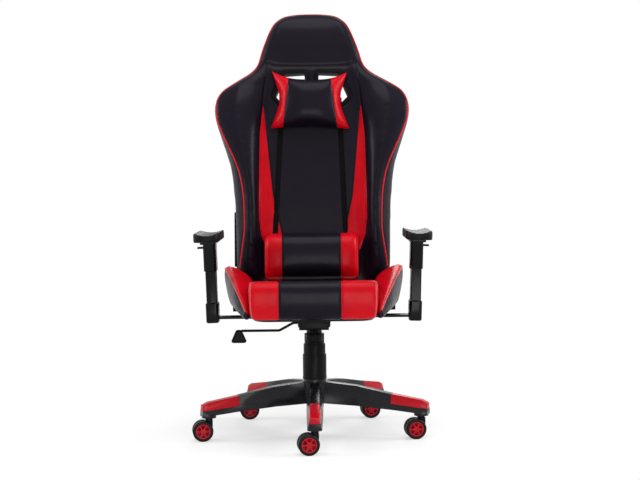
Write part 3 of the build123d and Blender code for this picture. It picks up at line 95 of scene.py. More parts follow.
def round_off(points):
    """A closed outline with its corners cut twice, so that it runs smoothly."""
    outline = np.array(points, float)
    for _ in range(2):
        following = np.roll(outline, -1, axis=0)
        cut = np.stack((0.75 * outline + 0.25 * following, 0.25 * outline + 0.75 * following), 1)
        outline = cut.reshape(-1, outline.shape[1])
    return outline


def from_back(across, height, depth):
    """Where a point of the back is: across it, up along its lean, and forward of the hinge."""
    across, height, depth = np.broadcast_arrays(across, height, depth)
    y = HINGE.y + height * math.sin(LEAN) - depth * math.cos(LEAN)
    z = HINGE.z + height * math.cos(LEAN) + depth * math.sin(LEAN)
    return np.stack((across, y, z), -1)


def to_back(points):
    """Across, height and depth of world points, as in from_back."""
    y = points[:, 1] - HINGE.y
    z = points[:, 2] - HINGE.z
    height = y * math.sin(LEAN) + z * math.cos(LEAN)
    depth = z * math.sin(LEAN) - y * math.cos(LEAN)
    return points[:, 0], height, depth


def direction(up, forward):
    return Vector(from_back(0, up, forward)) - Vector(from_back(0, 0, 0))


FORWARD = direction(0, 1)
BACKWARD = direction(0, -1)
UPWARD = direction(1, 0)


def add_object(name, data):
    piece = bpy.data.objects.new(name, data)
    bpy.context.scene.collection.objects.link(piece)
    return piece


def setup(thing, **settings):
    for setting, value in settings.items():
        setattr(thing, setting, value)
    return thing


def modify(piece, name, kind, **settings):
    return setup(piece.modifiers.new(name, kind), **settings)


def mesh_from(name, vertices, faces):
    mesh = bpy.data.meshes.new(name)
    mesh.from_pydata([tuple(v) for v in vertices], [], faces)
    mesh.update()
    return mesh


def skin_between(first, rings, count):
    """Faces between rings of count points each, numbered on from first."""
    return [
        (a + i, a + (i + 1) % count, a + count + (i + 1) % count, a + count + i)
        for a in range(first, first + (rings - 1) * count, count)
        for i in range(count)
    ]


def loft(name, rings, strips=False):
    """A closed piece through rings that have the same number of points.

    With strips, each end is closed by strips across its ring and not by one face.
    """
    count = len(rings[0])
    last = (len(rings) - 1) * count
    faces = skin_between(0, len(rings), count)
    if strips:
        for i in range(count // 2 - 1):
            across = (i, i + 1, count - 2 - i, count - 1 - i)
            faces.append(tuple(reversed(across)))
            faces.append(tuple(last + k for k in across))
    else:
        faces.append(tuple(reversed(range(count))))
        faces.append(tuple(range(last, last + count)))
    return add_object(name, mesh_from(name, np.concatenate(rings), faces))


def coordinates(mesh, kind="co"):
    """Where each vertex is, or with "normal" which way its skin faces."""
    values = np.zeros(len(mesh.vertices) * 3)
    mesh.vertices.foreach_get(kind, values)
    return values.reshape(-1, 3)


def set_coordinates(mesh, points):
    mesh.vertices.foreach_set("co", points.reshape(-1))
    mesh.update()


def apply_modifiers(piece):
    """Replace a piece's mesh by the one that its modifiers make."""
    bpy.context.view_layer.update()
    depsgraph = bpy.context.evaluated_depsgraph_get()
    made = bpy.data.meshes.new_from_object(piece.evaluated_get(depsgraph))
    old = piece.data
    piece.modifiers.clear()
    piece.data = made
    bpy.data.meshes.remove(old)


def walk(points, step=0.0015):
    """Points at even steps along a run of points."""
    points = np.array(points, float)
    lengths = np.linalg.norm(np.diff(points, axis=0), axis=1)
    along = np.concatenate(([0], np.cumsum(lengths)))
    places = np.linspace(0, along[-1], max(2, int(along[-1] / step)))
    return np.stack([np.interp(places, along, points[:, axis]) for axis in range(3)], 1)


def distance_to(points, runs):
    """How far each point is from the nearest of several runs of points."""
    samples = np.concatenate([walk(run) for run in runs])
    tree = KDTree(len(samples))
    for i, sample in enumerate(samples):
        tree.insert(sample, i)
    tree.balance()
    return np.array([tree.find(point)[2] for point in points])


def inside_distance(points, outline):
    """How far each flat point is inside a closed outline, negative outside it."""
    outline = np.array(outline, float)
    nearest = np.full(len(points), 1e9)
    inside = np.zeros(len(points), bool)
    for start, end in zip(outline, np.roll(outline, -1, axis=0)):
        edge = end - start
        share = np.clip((points - start) @ edge / (edge @ edge), 0, 1)
        off = np.linalg.norm(points - start - share[:, None] * edge, axis=1)
        nearest = np.minimum(nearest, off)
        crosses = (start[1] > points[:, 1]) != (end[1] > points[:, 1])
        meets = start[0] + (points[:, 1] - start[1]) / (edge[1] or 1e-12) * edge[0]
        inside ^= crosses & (points[:, 0] < meets)
    return np.where(inside, nearest, -nearest)


def ramp(value, width):
    """0 up to a value of 0, rising to 1 at a width."""
    return np.clip(value / width, 0, 1)


def shade_smooth(mesh):
    mesh.polygons.foreach_set("use_smooth", [True] * len(mesh.polygons))


def smooth_out(mesh, rounds):
    """Relax a mesh a little, to take out the steps that the remesh leaves."""
    form = bmesh.new()
    form.from_mesh(mesh)
    axes = {f"use_axis_{axis}": True for axis in "xyz"}
    for _ in range(rounds):
        bmesh.ops.smooth_vert(form, verts=form.verts, factor=0.5, **axes)
    form.to_mesh(mesh)
    form.free()


# ---- helpers for upholstery

SIM_FRAMES = 20
SEAM_HOLD = 0.007       # how far from a seam the foam can't swell
LEAST_HOLD = 0.02       # a point that is held more weakly than this is free
SEAM_WIDTH = 0.0032
SEAM_DEPTH = 0.0022


def voxels(piece, size):
    return modify(piece, "voxels", "REMESH", mode="VOXEL", voxel_size=size)


def inflate(piece, voxel, cap, seams, held):
    """Swell a closed shape like stuffed leatherette, held along its seams.

    No point moves further than cap. held says for each point how firmly it is held besides.
    """
    voxels(piece, voxel)
    apply_modifiers(piece)
    smooth_out(piece.data, 3)
    start = coordinates(piece.data)
    hold = np.maximum(np.exp(-((distance_to(start, seams) / SEAM_HOLD) ** 2)), held(start))
    group = piece.vertex_groups.new(name="held")
    for index, weight in enumerate(hold):
        if weight > LEAST_HOLD:
            group.add([index], float(weight), "REPLACE")
    cloth = piece.modifiers.new("swelling", "CLOTH")
    setup(
        cloth.settings, quality=5, mass=0.3, bending_stiffness=0.6, shear_stiffness=8,
        tension_stiffness=15, compression_stiffness=15, use_pressure=True,
        uniform_pressure_force=4.0, vertex_group_mass="held", pin_stiffness=1,
    )
    cloth.settings.effector_weights.gravity = 0
    setup(cloth.point_cache, frame_start=1, frame_end=SIM_FRAMES)
    scene = bpy.context.scene
    for number in range(1, SIM_FRAMES + 1):
        scene.frame_set(number)
    swollen = piece.evaluated_get(bpy.context.evaluated_depsgraph_get())
    move = coordinates(swollen.to_mesh()) - start
    swollen.to_mesh_clear()
    length = np.linalg.norm(move, axis=1, keepdims=True)
    move *= np.minimum(1, cap / np.maximum(length, 1e-9))
    piece.modifiers.clear()
    piece.vertex_groups.clear()
    set_coordinates(piece.data, start + move)
    scene.frame_set(1)
    smooth_out(piece.data, 2)


def refine(piece):
    """One round of subdivision, applied."""
    modify(piece, "finer", "SUBSURF", levels=1, render_levels=1)
    apply_modifiers(piece)
    shade_smooth(piece.data)


def sew(piece, seams, depth=SEAM_DEPTH, width=SEAM_WIDTH):
    """Draw the skin in along its seams."""
    points = coordinates(piece.data)
    pull = depth * np.exp(-((distance_to(points, seams) / width) ** 2))
    set_coordinates(piece.data, points - coordinates(piece.data, "normal") * pull[:, None])


def snap_to(piece, run, lift=0.0):
    """Lay a run of points on a piece's skin, raised by lift."""
    laid = []
    for point in run:
        found, near, normal, _ = piece.closest_point_on_mesh(Vector(point))
        laid.append(near + normal * lift if found else Vector(point))
    return laid


def tube(name, run, radius):
    """A round tube along a run of points, such as piping."""
    curve = bpy.data.curves.new(name, "CURVE")
    setup(curve, dimensions="3D", bevel_depth=radius, bevel_resolution=3, use_fill_caps=True)
    spline = curve.splines.new("NURBS")
    spline.points.add(len(run) - 1)
    for point, place in zip(spline.points, run):
        point.co = (*place, 1)
    setup(spline, order_u=3, use_endpoint_u=True)
    return add_object(name, curve)


STITCH_LENGTH = 0.0042
STITCH_GAP = 0.0022
STITCH_STEP = 0.0008
THREAD_R = 0.0004
THREAD_SIDES = 5


def stitches(name, body, run):
    """A row of short thread stitches laid along a run of points."""
    places = walk([tuple(point) for point in run], STITCH_STEP)
    each = int(STITCH_LENGTH / STITCH_STEP)
    pitch = int((STITCH_LENGTH + STITCH_GAP) / STITCH_STEP)
    vertices = []
    faces = []
    for first in range(0, len(places) - each, pitch):
        start = Vector(places[first])
        end = Vector(places[first + each])
        along = (end - start).normalized()
        across = along.orthogonal().normalized()
        up = along.cross(across)
        base = len(vertices)
        for share, swell in ((0, 0.4), (0.2, 1), (0.8, 1), (1, 0.4)):
            middle = start.lerp(end, share)
            for k in range(THREAD_SIDES):
                turn = 2 * math.pi * k / THREAD_SIDES
                offset = (across * math.cos(turn) + up * math.sin(turn)) * THREAD_R * swell
                vertices.append(middle + offset)
        faces += skin_between(base, 4, THREAD_SIDES)
        faces.append(tuple(reversed(range(base, base + THREAD_SIDES))))
        faces.append(tuple(range(len(vertices) - THREAD_SIDES, len(vertices))))
    mesh = mesh_from(name, vertices, faces)
    shade_smooth(mesh)
    trim(add_object(name, mesh), body, BLACK_THREAD)


# ---- helpers for materials

BLACK_HIDE = (0.0062, 0.004, 0.0094)
RED_HIDE = (0.545, 0.0018, 0.0095)
DEEP_PLASTIC = (0.003, 0.0028, 0.0036)


class Recipe:
    """The nodes of a material, or of a world, in the making."""

    def __init__(self, name, world=False, **sockets):
        self.made = (bpy.data.worlds if world else bpy.data.materials).new(name)
        self.made.use_nodes = True
        self.nodes = self.made.node_tree.nodes
        self.links = self.made.node_tree.links
        self.shader = self.nodes["Background" if world else "Principled BSDF"]
        self.place = self.nodes.new("ShaderNodeTexCoord").outputs["Object"]
        for socket, value in sockets.items():
            self.shader.inputs[socket.replace("_", " ")].default_value = value

    def put(self, value, socket):
        """Link an output, or set a plain value, on a socket."""
        if isinstance(value, bpy.types.NodeSocket):
            self.links.new(value, socket)
        else:
            socket.default_value = value

    def node(self, kind, settings=None, **sockets):
        node = setup(self.nodes.new("ShaderNode" + kind), **(settings or {}))
        for socket, value in sockets.items():
            self.put(value, node.inputs[socket.replace("_", " ")])
        return node

    def noise(self, scale, detail=2.0, rough=0.5, distortion=0.0, stretch=None):
        """Noise in the piece's own coordinates, which can be stretched along each axis."""
        place = self.place
        if stretch:
            place = self.node("Mapping", Vector=place, Scale=stretch).outputs["Vector"]
        return self.node(
            "TexNoise", Vector=place, Scale=scale, Detail=detail, Roughness=rough,
            Distortion=distortion,
        ).outputs["Fac"]

    def cells(self, scale):
        edges = {"feature": "DISTANCE_TO_EDGE"}
        return self.node("TexVoronoi", edges, Vector=self.place, Scale=scale).outputs["Distance"]

    def bands(self, scale, axis):
        along = {"bands_direction": axis}
        return self.node("TexWave", along, Vector=self.place, Scale=scale).outputs["Fac"]

    def spread(self, value, low, high, to_low, to_high, kind="LINEAR"):
        """Map a value's range onto another."""
        return self.node(
            "MapRange", {"interpolation_type": kind}, Value=value,
            From_Min=low, From_Max=high, To_Min=to_low, To_Max=to_high,
        ).outputs["Result"]

    def blend(self, share, first, second, mode="MIX"):
        """One colour or the other, or with another mode both."""
        node = self.node("Mix", {"data_type": "RGBA", "blend_type": mode}, Factor=share)
        for value, index in ((first, 6), (second, 7)):
            self.put((*value, 1) if isinstance(value, tuple) else value, node.inputs[index])
        return node.outputs[2]

    def calculate(self, operation, *values):
        node = self.node("Math", {"operation": operation})
        for value, socket in zip(values, node.inputs):
            self.put(value, socket)
        return node.outputs[0]

    def bump(self, height, strength, distance, **under):
        node = self.node("Bump", Height=height, Strength=strength, Distance=distance, **under)
        return node.outputs["Normal"]

    def finish(self, color, roughness, *relief, **under):
        """Put the colour, the roughness and the bump of a height on the shader."""
        normal = self.bump(*relief, **under)
        for value, socket in ((color, "Base Color"), (roughness, "Roughness"), (normal, "Normal")):
            self.put(value, self.shader.inputs[socket])
        return self.made

    def seen_directly(self):
        """1 for rays that come from the camera, off gloss or through glass, 0 for others."""
        rays = self.node("LightPath").outputs
        seen = self.calculate("MAXIMUM", rays["Is Camera Ray"], rays["Is Glossy Ray"])
        return self.calculate("MAXIMUM", seen, rays["Is Transmission Ray"])


def hide(name, color):
    """Coated leatherette: fine grain, slight creasing and an uneven polish.

    With no colour it is black, and red where the mesh's "red" number is positive.
    """
    mix = Recipe(name, IOR=1.45, Specular_IOR_Level=0.06, Coat_Weight=0.09, Coat_Roughness=0.2)
    mottle = mix.spread(mix.noise(14, 4), 0.3, 0.7, 0.82, 1.12)
    if color is None:
        red = mix.node("Attribute", {"attribute_name": "red"}).outputs["Fac"]
        color = mix.blend(mix.spread(red, -0.0004, 0.0004, 0, 1), BLACK_HIDE, RED_HIDE)
    tinted = mix.blend(1.0, color, mix.blend(mottle, (0, 0, 0), (1, 1, 1)), "MULTIPLY")
    polish = mix.spread(mix.noise(38, 3, 0.6), 0.3, 0.7, 0.3, 0.44)
    pebbles = mix.spread(mix.cells(620), 0.0, 0.25, 0, 1, "SMOOTHSTEP")
    pores = mix.calculate("MULTIPLY", mix.noise(1500, 2), 0.35)
    fine = mix.bump(mix.calculate("ADD", pebbles, pores), 0.22, 0.00025)
    creases = mix.noise(30, 4, 0.55, 0.7)
    return mix.finish(tinted, polish, creases, 0.3, 0.0022, Normal=fine)


def plastic(name, color, rough, texture=1400, gloss=0.0, shine=0.18):
    """Moulded plastic with a spark-eroded texture and faint handling marks."""
    mix = Recipe(name, IOR=1.46, Specular_IOR_Level=shine, Coat_Weight=gloss, Coat_Roughness=0.15)
    marks = mix.noise(60, 5, 0.65, stretch=(1, 1, 2.5))
    scuffed = mix.spread(marks, 0.58, 0.74, 0, 1, "SMOOTHSTEP")
    pale = tuple(min(1, value * 1.35 + 0.01) for value in color)
    tinted = mix.blend(mix.calculate("MULTIPLY", scuffed, 0.15), color, pale)
    polish = mix.spread(marks, 0.3, 0.75, rough - 0.05, rough + 0.1)
    return mix.finish(tinted, polish, mix.noise(texture, 3), 0.14, 0.0002)


def painted_steel():
    """Powder-coated steel, with a slight orange peel."""
    mix = Recipe("black_painted_steel", IOR=1.5, Specular_IOR_Level=0.12)
    peel = mix.noise(420, 2, 0.4)
    patches = mix.spread(mix.noise(25, 3), 0.35, 0.7, 0, 0.5)
    tinted = mix.blend(patches, (0.003, 0.003, 0.0036), (0.008, 0.008, 0.008))
    polish = mix.spread(peel, 0.3, 0.7, 0.34, 0.46)
    return mix.finish(tinted, polish, peel, 0.2, 0.0003)


def plated_steel():
    """Turned and plated steel, brushed round its axis."""
    mix = Recipe("plated_steel", Metallic=1.0)
    lines = mix.noise(90, 4, 0.7, stretch=(1, 1, 14))
    tinted = mix.blend(lines, (0.42, 0.42, 0.43), (0.62, 0.62, 0.63))
    polish = mix.spread(lines, 0.3, 0.7, 0.24, 0.42)
    return mix.finish(tinted, polish, lines, 0.12, 0.0002)


def webbing():
    """Woven elastic: warp ribs crossed by a finer weft."""
    mix = Recipe("black_webbing", IOR=1.45, Specular_IOR_Level=0.08)
    weave = mix.calculate("MULTIPLY", mix.bands(330, "X"), mix.bands(520, "Z"))
    tinted = mix.blend(weave, (0.00275, 0.00264, 0.0033), (0.005, 0.0048, 0.006))
    polish = mix.spread(weave, 0, 1, 0.85, 0.65)
    return mix.finish(tinted, polish, weave, 0.5, 0.0005)


def dust_cloth():
    """The thin non-woven cover under the seat."""
    mix = Recipe("seat_dust_cloth")
    fibres = mix.noise(700, 4, 0.7, stretch=(1, 0.35, 1))
    dimples = mix.spread(mix.cells(260), 0, 0.2, 0, 1, "SMOOTHSTEP")
    tinted = mix.blend(fibres, (0.0132, 0.0132, 0.0138), (0.022, 0.022, 0.023))
    polish = mix.spread(fibres, 0, 1, 0.8, 0.95)
    return mix.finish(tinted, polish, dimples, 0.4, 0.0004)


def thread():
    """Twisted sewing thread."""
    mix = Recipe("black_thread", IOR=1.45, Specular_IOR_Level=0.12)
    twist = mix.noise(2400, 2, stretch=(1, 1, 0.3))
    tinted = mix.blend(twist, (0.0084, 0.0077, 0.0091), (0.012, 0.011, 0.013))
    polish = mix.spread(twist, 0, 1, 0.6, 0.8)
    return mix.finish(tinted, polish, twist, 0.3, 0.0002)


def rubber():
    """The casters' soft running surface, dusty where it rolls."""
    mix = Recipe("caster_rubber", IOR=1.5, Specular_IOR_Level=0.12)
    dust = mix.spread(mix.noise(120, 5, 0.7), 0.52, 0.75, 0, 0.35, "SMOOTHSTEP")
    tinted = mix.blend(dust, (0.004, 0.004, 0.0045), (0.03, 0.029, 0.028))
    polish = mix.spread(dust, 0, 0.35, 0.42, 0.75)
    return mix.finish(tinted, polish, mix.noise(900, 3), 0.2, 0.0002)


ZONED_LEATHER = hide("black_and_red_leatherette", None)
RED_PIPING = hide("red_piping", (0.54, 0.02, 0.03))
PALE_EDGE = hide("pale_piping", (0.58, 0.095, 0.1))
BLACK_MOULDED = plastic("black_moulded", DEEP_PLASTIC, 0.36, shine=0.1)
COLUMN_MOULDED = plastic("black_column_moulded", DEEP_PLASTIC, 0.22, 700, 0.1, shine=0.1)
GLOSSY_MOULDED = plastic(
    "black_glossy_moulded", (0.0072, 0.0066, 0.0088), 0.27, 700, 0.14, shine=0.15
)
RED_MOULDED = plastic("red_moulded", (0.42, 0.002, 0.0095), 0.34, 700, 0.14, shine=0.12)
SOFT_MOULDED = plastic("arm_pad_skin", (0.0065, 0.0062, 0.0075), 0.42, 2200, shine=0.09)
COLLAR_MOULDED = plastic("collar_moulded", (0.0035, 0.0032, 0.0042), 0.62, shine=0.08)
WHITE_MOULDED = plastic("white_moulded", (0.74, 0.74, 0.7), 0.45)
CASTER_RUBBER = rubber()
BLACK_STEEL = painted_steel()
BRIGHT_STEEL = plated_steel()
BLACK_WEBBING = webbing()
DUST_CLOTH = dust_cloth()
BLACK_THREAD = thread()

# ---- carried-over CAD pieces


def wear(piece, *materials):
    """Give a piece its materials in order."""
    piece.data.materials.clear()
    for material in materials:
        piece.data.materials.append(material)
    return piece


def soften_edges(piece, width):
    """Round the sharp edges of a carried-over CAD piece, as moulding or wear does."""
    shade_smooth(piece.data)
    modify(piece, "weld", "WELD", merge_threshold=0.00001)
    flat = math.radians(1)
    modify(piece, "flatten", "DECIMATE", decimate_type="DISSOLVE", angle_limit=flat)
    modify(piece, "round_edges", "BEVEL", width=width, segments=2, limit_method="ANGLE",
           angle_limit=math.radians(32), harden_normals=True)


def round_over(piece, voxel, rounds):
    """Give a carried-over CAD piece the fully rounded edges of a foamed skin."""
    voxels(piece, voxel).use_smooth_shade = True
    modify(piece, "rounded", "SMOOTH", factor=0.5, iterations=rounds)


def paint_by(piece, chooser):
    """Choose each face's material slot from where its middle is."""
    for polygon in piece.data.polygons:
        polygon.material_index = chooser(polygon.center, polygon.normal)


# The material and the width of the rounded edges of each carried-over CAD node.
for material, edge, cad_nodes in (
    (GLOSSY_MOULDED, 0.0015, "star_base"),
    (RED_MOULDED, 0.0012, "leg_caps"),
    (WHITE_MOULDED, 0.0004, "standpipe_bush"),
    (BLACK_STEEL, 0.0003, "lever_rod"),
    (BLACK_STEEL, 0.0004, "gas_standpipe gas_tube seat_frame back_frame"),
    (BLACK_STEEL, 0.0006, "tilt_plate recliner_left recliner_right"),
    (BLACK_STEEL, 0.0008, "arm_bracket_left arm_bracket_right"),
    (BLACK_STEEL, 0.0012, "tilt_housing"),
    (BRIGHT_STEEL, 0.0003, "thrust_bearing piston_rod retaining_clip"),
    (BRIGHT_STEEL, 0.0004, "tilt_pin seat_bolts"),
    (BLACK_MOULDED, 0, "lever_bush lever_paddle"),
    (BLACK_MOULDED, 0.0006, "dust_cover_lower dust_cover_middle dust_cover_upper"),
    (BLACK_MOULDED, 0.001, "tension_knob arm_trigger_left arm_trigger_right"),
    (BLACK_MOULDED, 0.002, "recline_lever hinge_cover_left hinge_cover_right"),
    (COLLAR_MOULDED, 0.0009, "harness_bezels"),
    (COLUMN_MOULDED, 0.0016, "arm_sleeve_left arm_sleeve_right"),
    (COLUMN_MOULDED, 0.0012, "arm_post_left arm_post_right"),
    (SOFT_MOULDED, 0, "arm_pad_left arm_pad_right"),
):
    for cad_node in cad_nodes.split():
        wear(NODES[cad_node], material)
        if edge:
            soften_edges(NODES[cad_node], edge)
for cad_node, voxel, rounds in (
    ("lever_paddle", 0.0018, 30), ("arm_pad_left", 0.0028, 14), ("arm_pad_right", 0.0028, 14)
):
    round_over(NODES[cad_node], voxel, rounds)

STEM_R = 0.0058         # anything nearer to a caster's swivel is its steel stem
AXLE_R = 0.0042         # and anything nearer to its rolling axis is its steel axle
DISC_R = 0.0207         # the red disc inside each wheel's black running surface


def finish_caster(number):
    """Black body and running surfaces, bright stem and axle, red wheel discs."""
    swivel = Vector(JOINTS[f"caster_{number}_swivel"]["pos_m"])
    rolling = JOINTS[f"wheel_{number}_a_roll"]
    axle = Vector(rolling["pos_m"])
    axis = Vector(rolling["axis"])

    def from_axle(center):
        return (center - axle).cross(axis).length

    def metal(center, _):
        stem = (center - swivel).xy.length < STEM_R and center.z > swivel.z
        return int(stem or from_axle(center) < AXLE_R)

    def disc(center, _):
        return int(from_axle(center) < DISC_R)

    for part, materials, chooser, edge in (
        ("frame", (BLACK_MOULDED, BRIGHT_STEEL), metal, 0.0008),
        ("wheel_a", (CASTER_RUBBER, RED_MOULDED), disc, 0.0005),
        ("wheel_b", (CASTER_RUBBER, RED_MOULDED), disc, 0.0005),
    ):
        piece = wear(NODES[f"caster_{number}_{part}"], *materials)
        paint_by(piece, chooser)
        soften_edges(piece, edge)


for number in range(1, 6):
    finish_caster(number)

# ---- the tilt's spring

SPRING_WIRE = 0.0032
SPRING_COILS = 4
SPRING_BOTTOM, SPRING_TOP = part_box("tension_spring")


def make_spring():
    """The tilt's coil spring, wound to fill the box of the CAD spring that it replaces."""
    middle = (SPRING_BOTTOM + SPRING_TOP) / 2
    wire_r = SPRING_WIRE / 2
    radius = SPRING_TOP.x - middle.x - wire_r
    turn = np.linspace(0, 2 * math.pi * SPRING_COILS, 36 * SPRING_COILS)
    x = middle.x + radius * np.cos(turn)
    y = middle.y + radius * np.sin(turn)
    z = np.linspace(SPRING_BOTTOM.z + wire_r, SPRING_TOP.z - wire_r, len(turn))
    wire = tube("spring_wire", np.stack((x, y, z), 1), wire_r)
    bpy.context.view_layer.update()
    coil = wire.evaluated_get(bpy.context.evaluated_depsgraph_get())
    spring = add_object("tilt_spring", bpy.data.meshes.new_from_object(coil))
    bpy.data.objects.remove(wire)
    shade_smooth(spring.data)
    wear(spring, BLACK_STEEL)
    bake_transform(spring)
    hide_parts("tension_spring")


make_spring()

# ---- trim and padding


def trim(piece, body, material):
    """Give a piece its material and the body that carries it."""
    wear(piece, material)
    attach(piece, body)


def piping(name, body, run, radius, material):
    trim(tube(name, run, radius), body, material)


def pad(piece, red, body, node):
    """A padded piece in place of a CAD node, red where the given distances are positive."""
    layer = piece.data.attributes.new("red", "FLOAT", "POINT")
    layer.data.foreach_set("value", np.asarray(red, float))
    trim(piece, body, ZONED_LEATHER)
    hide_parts(node)


# ---- the back's upholstery

# Each track runs up the back along its lean, in metres from the hinge line.
BACK_TOP = 0.853
BACK_FOOT = -0.023
OUTLINE_X = track(
    (-0.024, 0.183), (-0.01, 0.192), (0.04, 0.196), (0.068, 0.232), (0.2, 0.2375),
    (0.31, 0.2405), (0.375, 0.2475), (0.42, 0.2585), (0.46, 0.271), (0.552, 0.2965),
    (0.6, 0.282), (0.64, 0.2285), (0.66, 0.195), (0.675, 0.1765), (0.692, 0.164),
    (0.745, 0.1475), (0.82, 0.1145), (0.842, 0.0915), (0.851, 0.059), (0.854, 0.01),
)
PIPING_X = track(
    (0.066, 0.223), (0.114, 0.2157), (0.162, 0.2077), (0.206, 0.2048), (0.273, 0.2066),
    (0.309, 0.2107), (0.355, 0.22), (0.395, 0.2347), (0.438, 0.2556), (0.483, 0.2755),
    (0.53, 0.291), (0.565, 0.2918), (0.6, 0.279), (0.64, 0.2255), (0.66, 0.192),
    (0.675, 0.1735), (0.692, 0.161), (0.745, 0.1445), (0.82, 0.1115), (0.842, 0.0875),
    (0.851, 0.054), (0.854, 0.008),
)
CREST_X = track(
    (0.066, 0.186), (0.178, 0.184), (0.288, 0.186), (0.43, 0.208), (0.55, 0.225),
    (0.62, 0.215), (0.64, 0.19), (0.69, 0.138), (0.745, 0.12), (0.82, 0.09), (0.85, 0.04),
)
ROOT_X = track(
    (-0.024, 0.14), (0.066, 0.152), (0.3, 0.156), (0.48, 0.15), (0.6, 0.128),
    (0.64, 0.125), (0.69, 0.11), (0.82, 0.07), (0.85, 0.025),
)
CREST_DEPTH = track(
    (-0.024, 0), (0.03, 0.014), (0.048, 0.03), (0.066, 0.04), (0.2, 0.07),
    (0.4, 0.072), (0.56, 0.06), (0.64, 0.038), (0.69, 0.02), (0.76, 0.02),
    (0.82, 0.016), (0.854, -0.01),
)
PIPING_DEPTH = track(
    (-0.024, -0.006), (0.04, 0.006), (0.066, 0.026), (0.2, 0.056), (0.4, 0.056),
    (0.48, 0.048), (0.56, 0.036), (0.64, 0.018), (0.69, 0.005), (0.8, 0),
    (0.854, -0.012),
)
SIDE_DEPTH = track(
    (-0.024, -0.012), (0.05, 0.002), (0.066, 0.007), (0.3, 0.007), (0.4, 0),
    (0.552, 0), (0.69, -0.01), (0.854, -0.014),
)
FACE_DEPTH = track(
    (-0.024, -0.006), (-0.016, 0.007), (-0.006, 0.0135), (0.02, 0.0145), (0.69, 0.0145),
    (0.745, 0.0185), (0.8, 0.0175), (0.83, 0.01), (0.848, -0.003), (0.854, -0.011),
)
REAR_DEPTH = track(
    (-0.024, -0.015), (-0.016, -0.027), (-0.004, -0.034), (0.82, -0.034),
    (0.84, -0.029), (0.85, -0.022), (0.854, -0.013),
)
# One red slash, from its point at the top down the wing, and back up its inner edge.
SLASH = (
    (0.148, 0.568), (0.158, 0.48), (0.162, 0.288), (0.162, 0.215), (0.156, 0.168),
    (0.14, 0.122), (0.088, 0.112), (0.097, 0.18), (0.121, 0.288),
)
# Corners of a harness opening, a little larger than the collar that fills it.
OPENING = ((0.0155, 0.6725), (0.0155, 0.5775), (0.0925, 0.5665), (0.1177, 0.592), (0.0845, 0.6685))

LEVER_SIDE_X = 0.2262   # behind its edge each wing is flat up to here, beside the recline lever
LEVER_TOP = 0.256
HEAD_LEAN = track((0.0, 0.0), (0.6, 0.0), (0.69, -0.0035), (0.854, -0.0035))


def back_section(height):
    """Section across the back at a height."""
    wide = float(OUTLINE_X(height))
    share = min(1.0, wide / 0.06)
    piping = min(float(PIPING_X(height)), wide - 0.002 * share)
    crest = min(float(CREST_X(height)), piping - 0.01 * share)
    root = min(float(ROOT_X(height)), crest - 0.014 * share)
    face = float(FACE_DEPTH(height))
    rear = float(REAR_DEPTH(height))
    top = max(float(CREST_DEPTH(height)), face)
    edge = min(float(PIPING_DEPTH(height)), top)
    side = max(float(SIDE_DEPTH(height)), rear + 0.001)
    flank = min(wide - 0.001 * share, LEVER_SIDE_X + 0.3 * max(0, height - LEVER_TOP))
    half = (
        (0, face),
        (0.55 * root, face),
        (root, face),
        (root + 0.35 * (crest - root), face + 0.62 * (top - face)),
        (crest - 0.004 * share, top),
        (crest + 0.006 * share, top),
        (piping - 0.004 * share, edge + 0.003 * share),
        (piping, edge),
        (piping + 0.3 * (wide - piping), edge - 0.004 * share),
        (wide, side),
        (flank, max(side - 0.011, 0.6 * side + 0.4 * rear)),
        (flank, 0.4 * side + 0.6 * rear),
        (min(flank, wide - 0.008 * share), rear + 0.003 * share),
        (wide - 0.022 * share, rear),
        (0.6 * root, rear),
        (0, rear),
    )
    section = [*half, *((-x, depth) for x, depth in reversed(half[1:-1]))]
    across, depths = round_off(section).T
    return from_back(across + HEAD_LEAN(height), height, depths)


def mirrored(run):
    return np.array(run) * (-1, 1)


def lay_on_back(piece, run, lift=0.0, front=True):
    """Lay (across, height) points on a piece's front or rear skin, raised by lift."""
    outward = FORWARD if front else BACKWARD
    laid = []
    for across, height in run:
        start = Vector(from_back(across, height, 0)) + 0.25 * outward
        found, place, _, _ = piece.ray_cast(start, -outward)
        if found:
            laid.append(place + lift * outward)
    return laid


def cut_openings(piece):
    """Cut both harness openings through the back."""
    for outline in (OPENING, mirrored(OPENING[::-1])):
        ends = [from_back(*np.array(outline).T, depth) for depth in (-0.08, 0.12)]
        cutter = loft("cutter", ends)
        modify(piece, "opening", "BOOLEAN", operation="DIFFERENCE", object=cutter)
        apply_modifiers(piece)
        bpy.data.objects.remove(cutter)


def finer(run):
    """More points along a flat run, so that it can be laid on a curved skin."""
    return walk([(x, height, 0) for x, height in run], 0.006)[:, :2]


def edge_run():
    """The piping's line, from the foot of the right wing over the head to the left one."""
    heights = np.concatenate((np.arange(0.072, 0.84, 0.012), [0.843, 0.848, 0.8515, 0.853]))
    across = np.minimum(PIPING_X(heights), OUTLINE_X(heights) - 0.002)
    halves = [
        from_back(HEAD_LEAN(heights) + side * across, heights, PIPING_DEPTH(heights))
        for side in (-1, 1)
    ]
    return np.concatenate((halves[0], halves[1][::-1]))


def curve_of(*points, count=24):
    """A smooth flat run through a few (across, height) points."""
    points = np.array(points)
    steps = np.linspace(0, len(points) - 1, count)
    places = range(len(points))
    return np.stack([track(*zip(places, column))(steps) for column in points.T], 1)


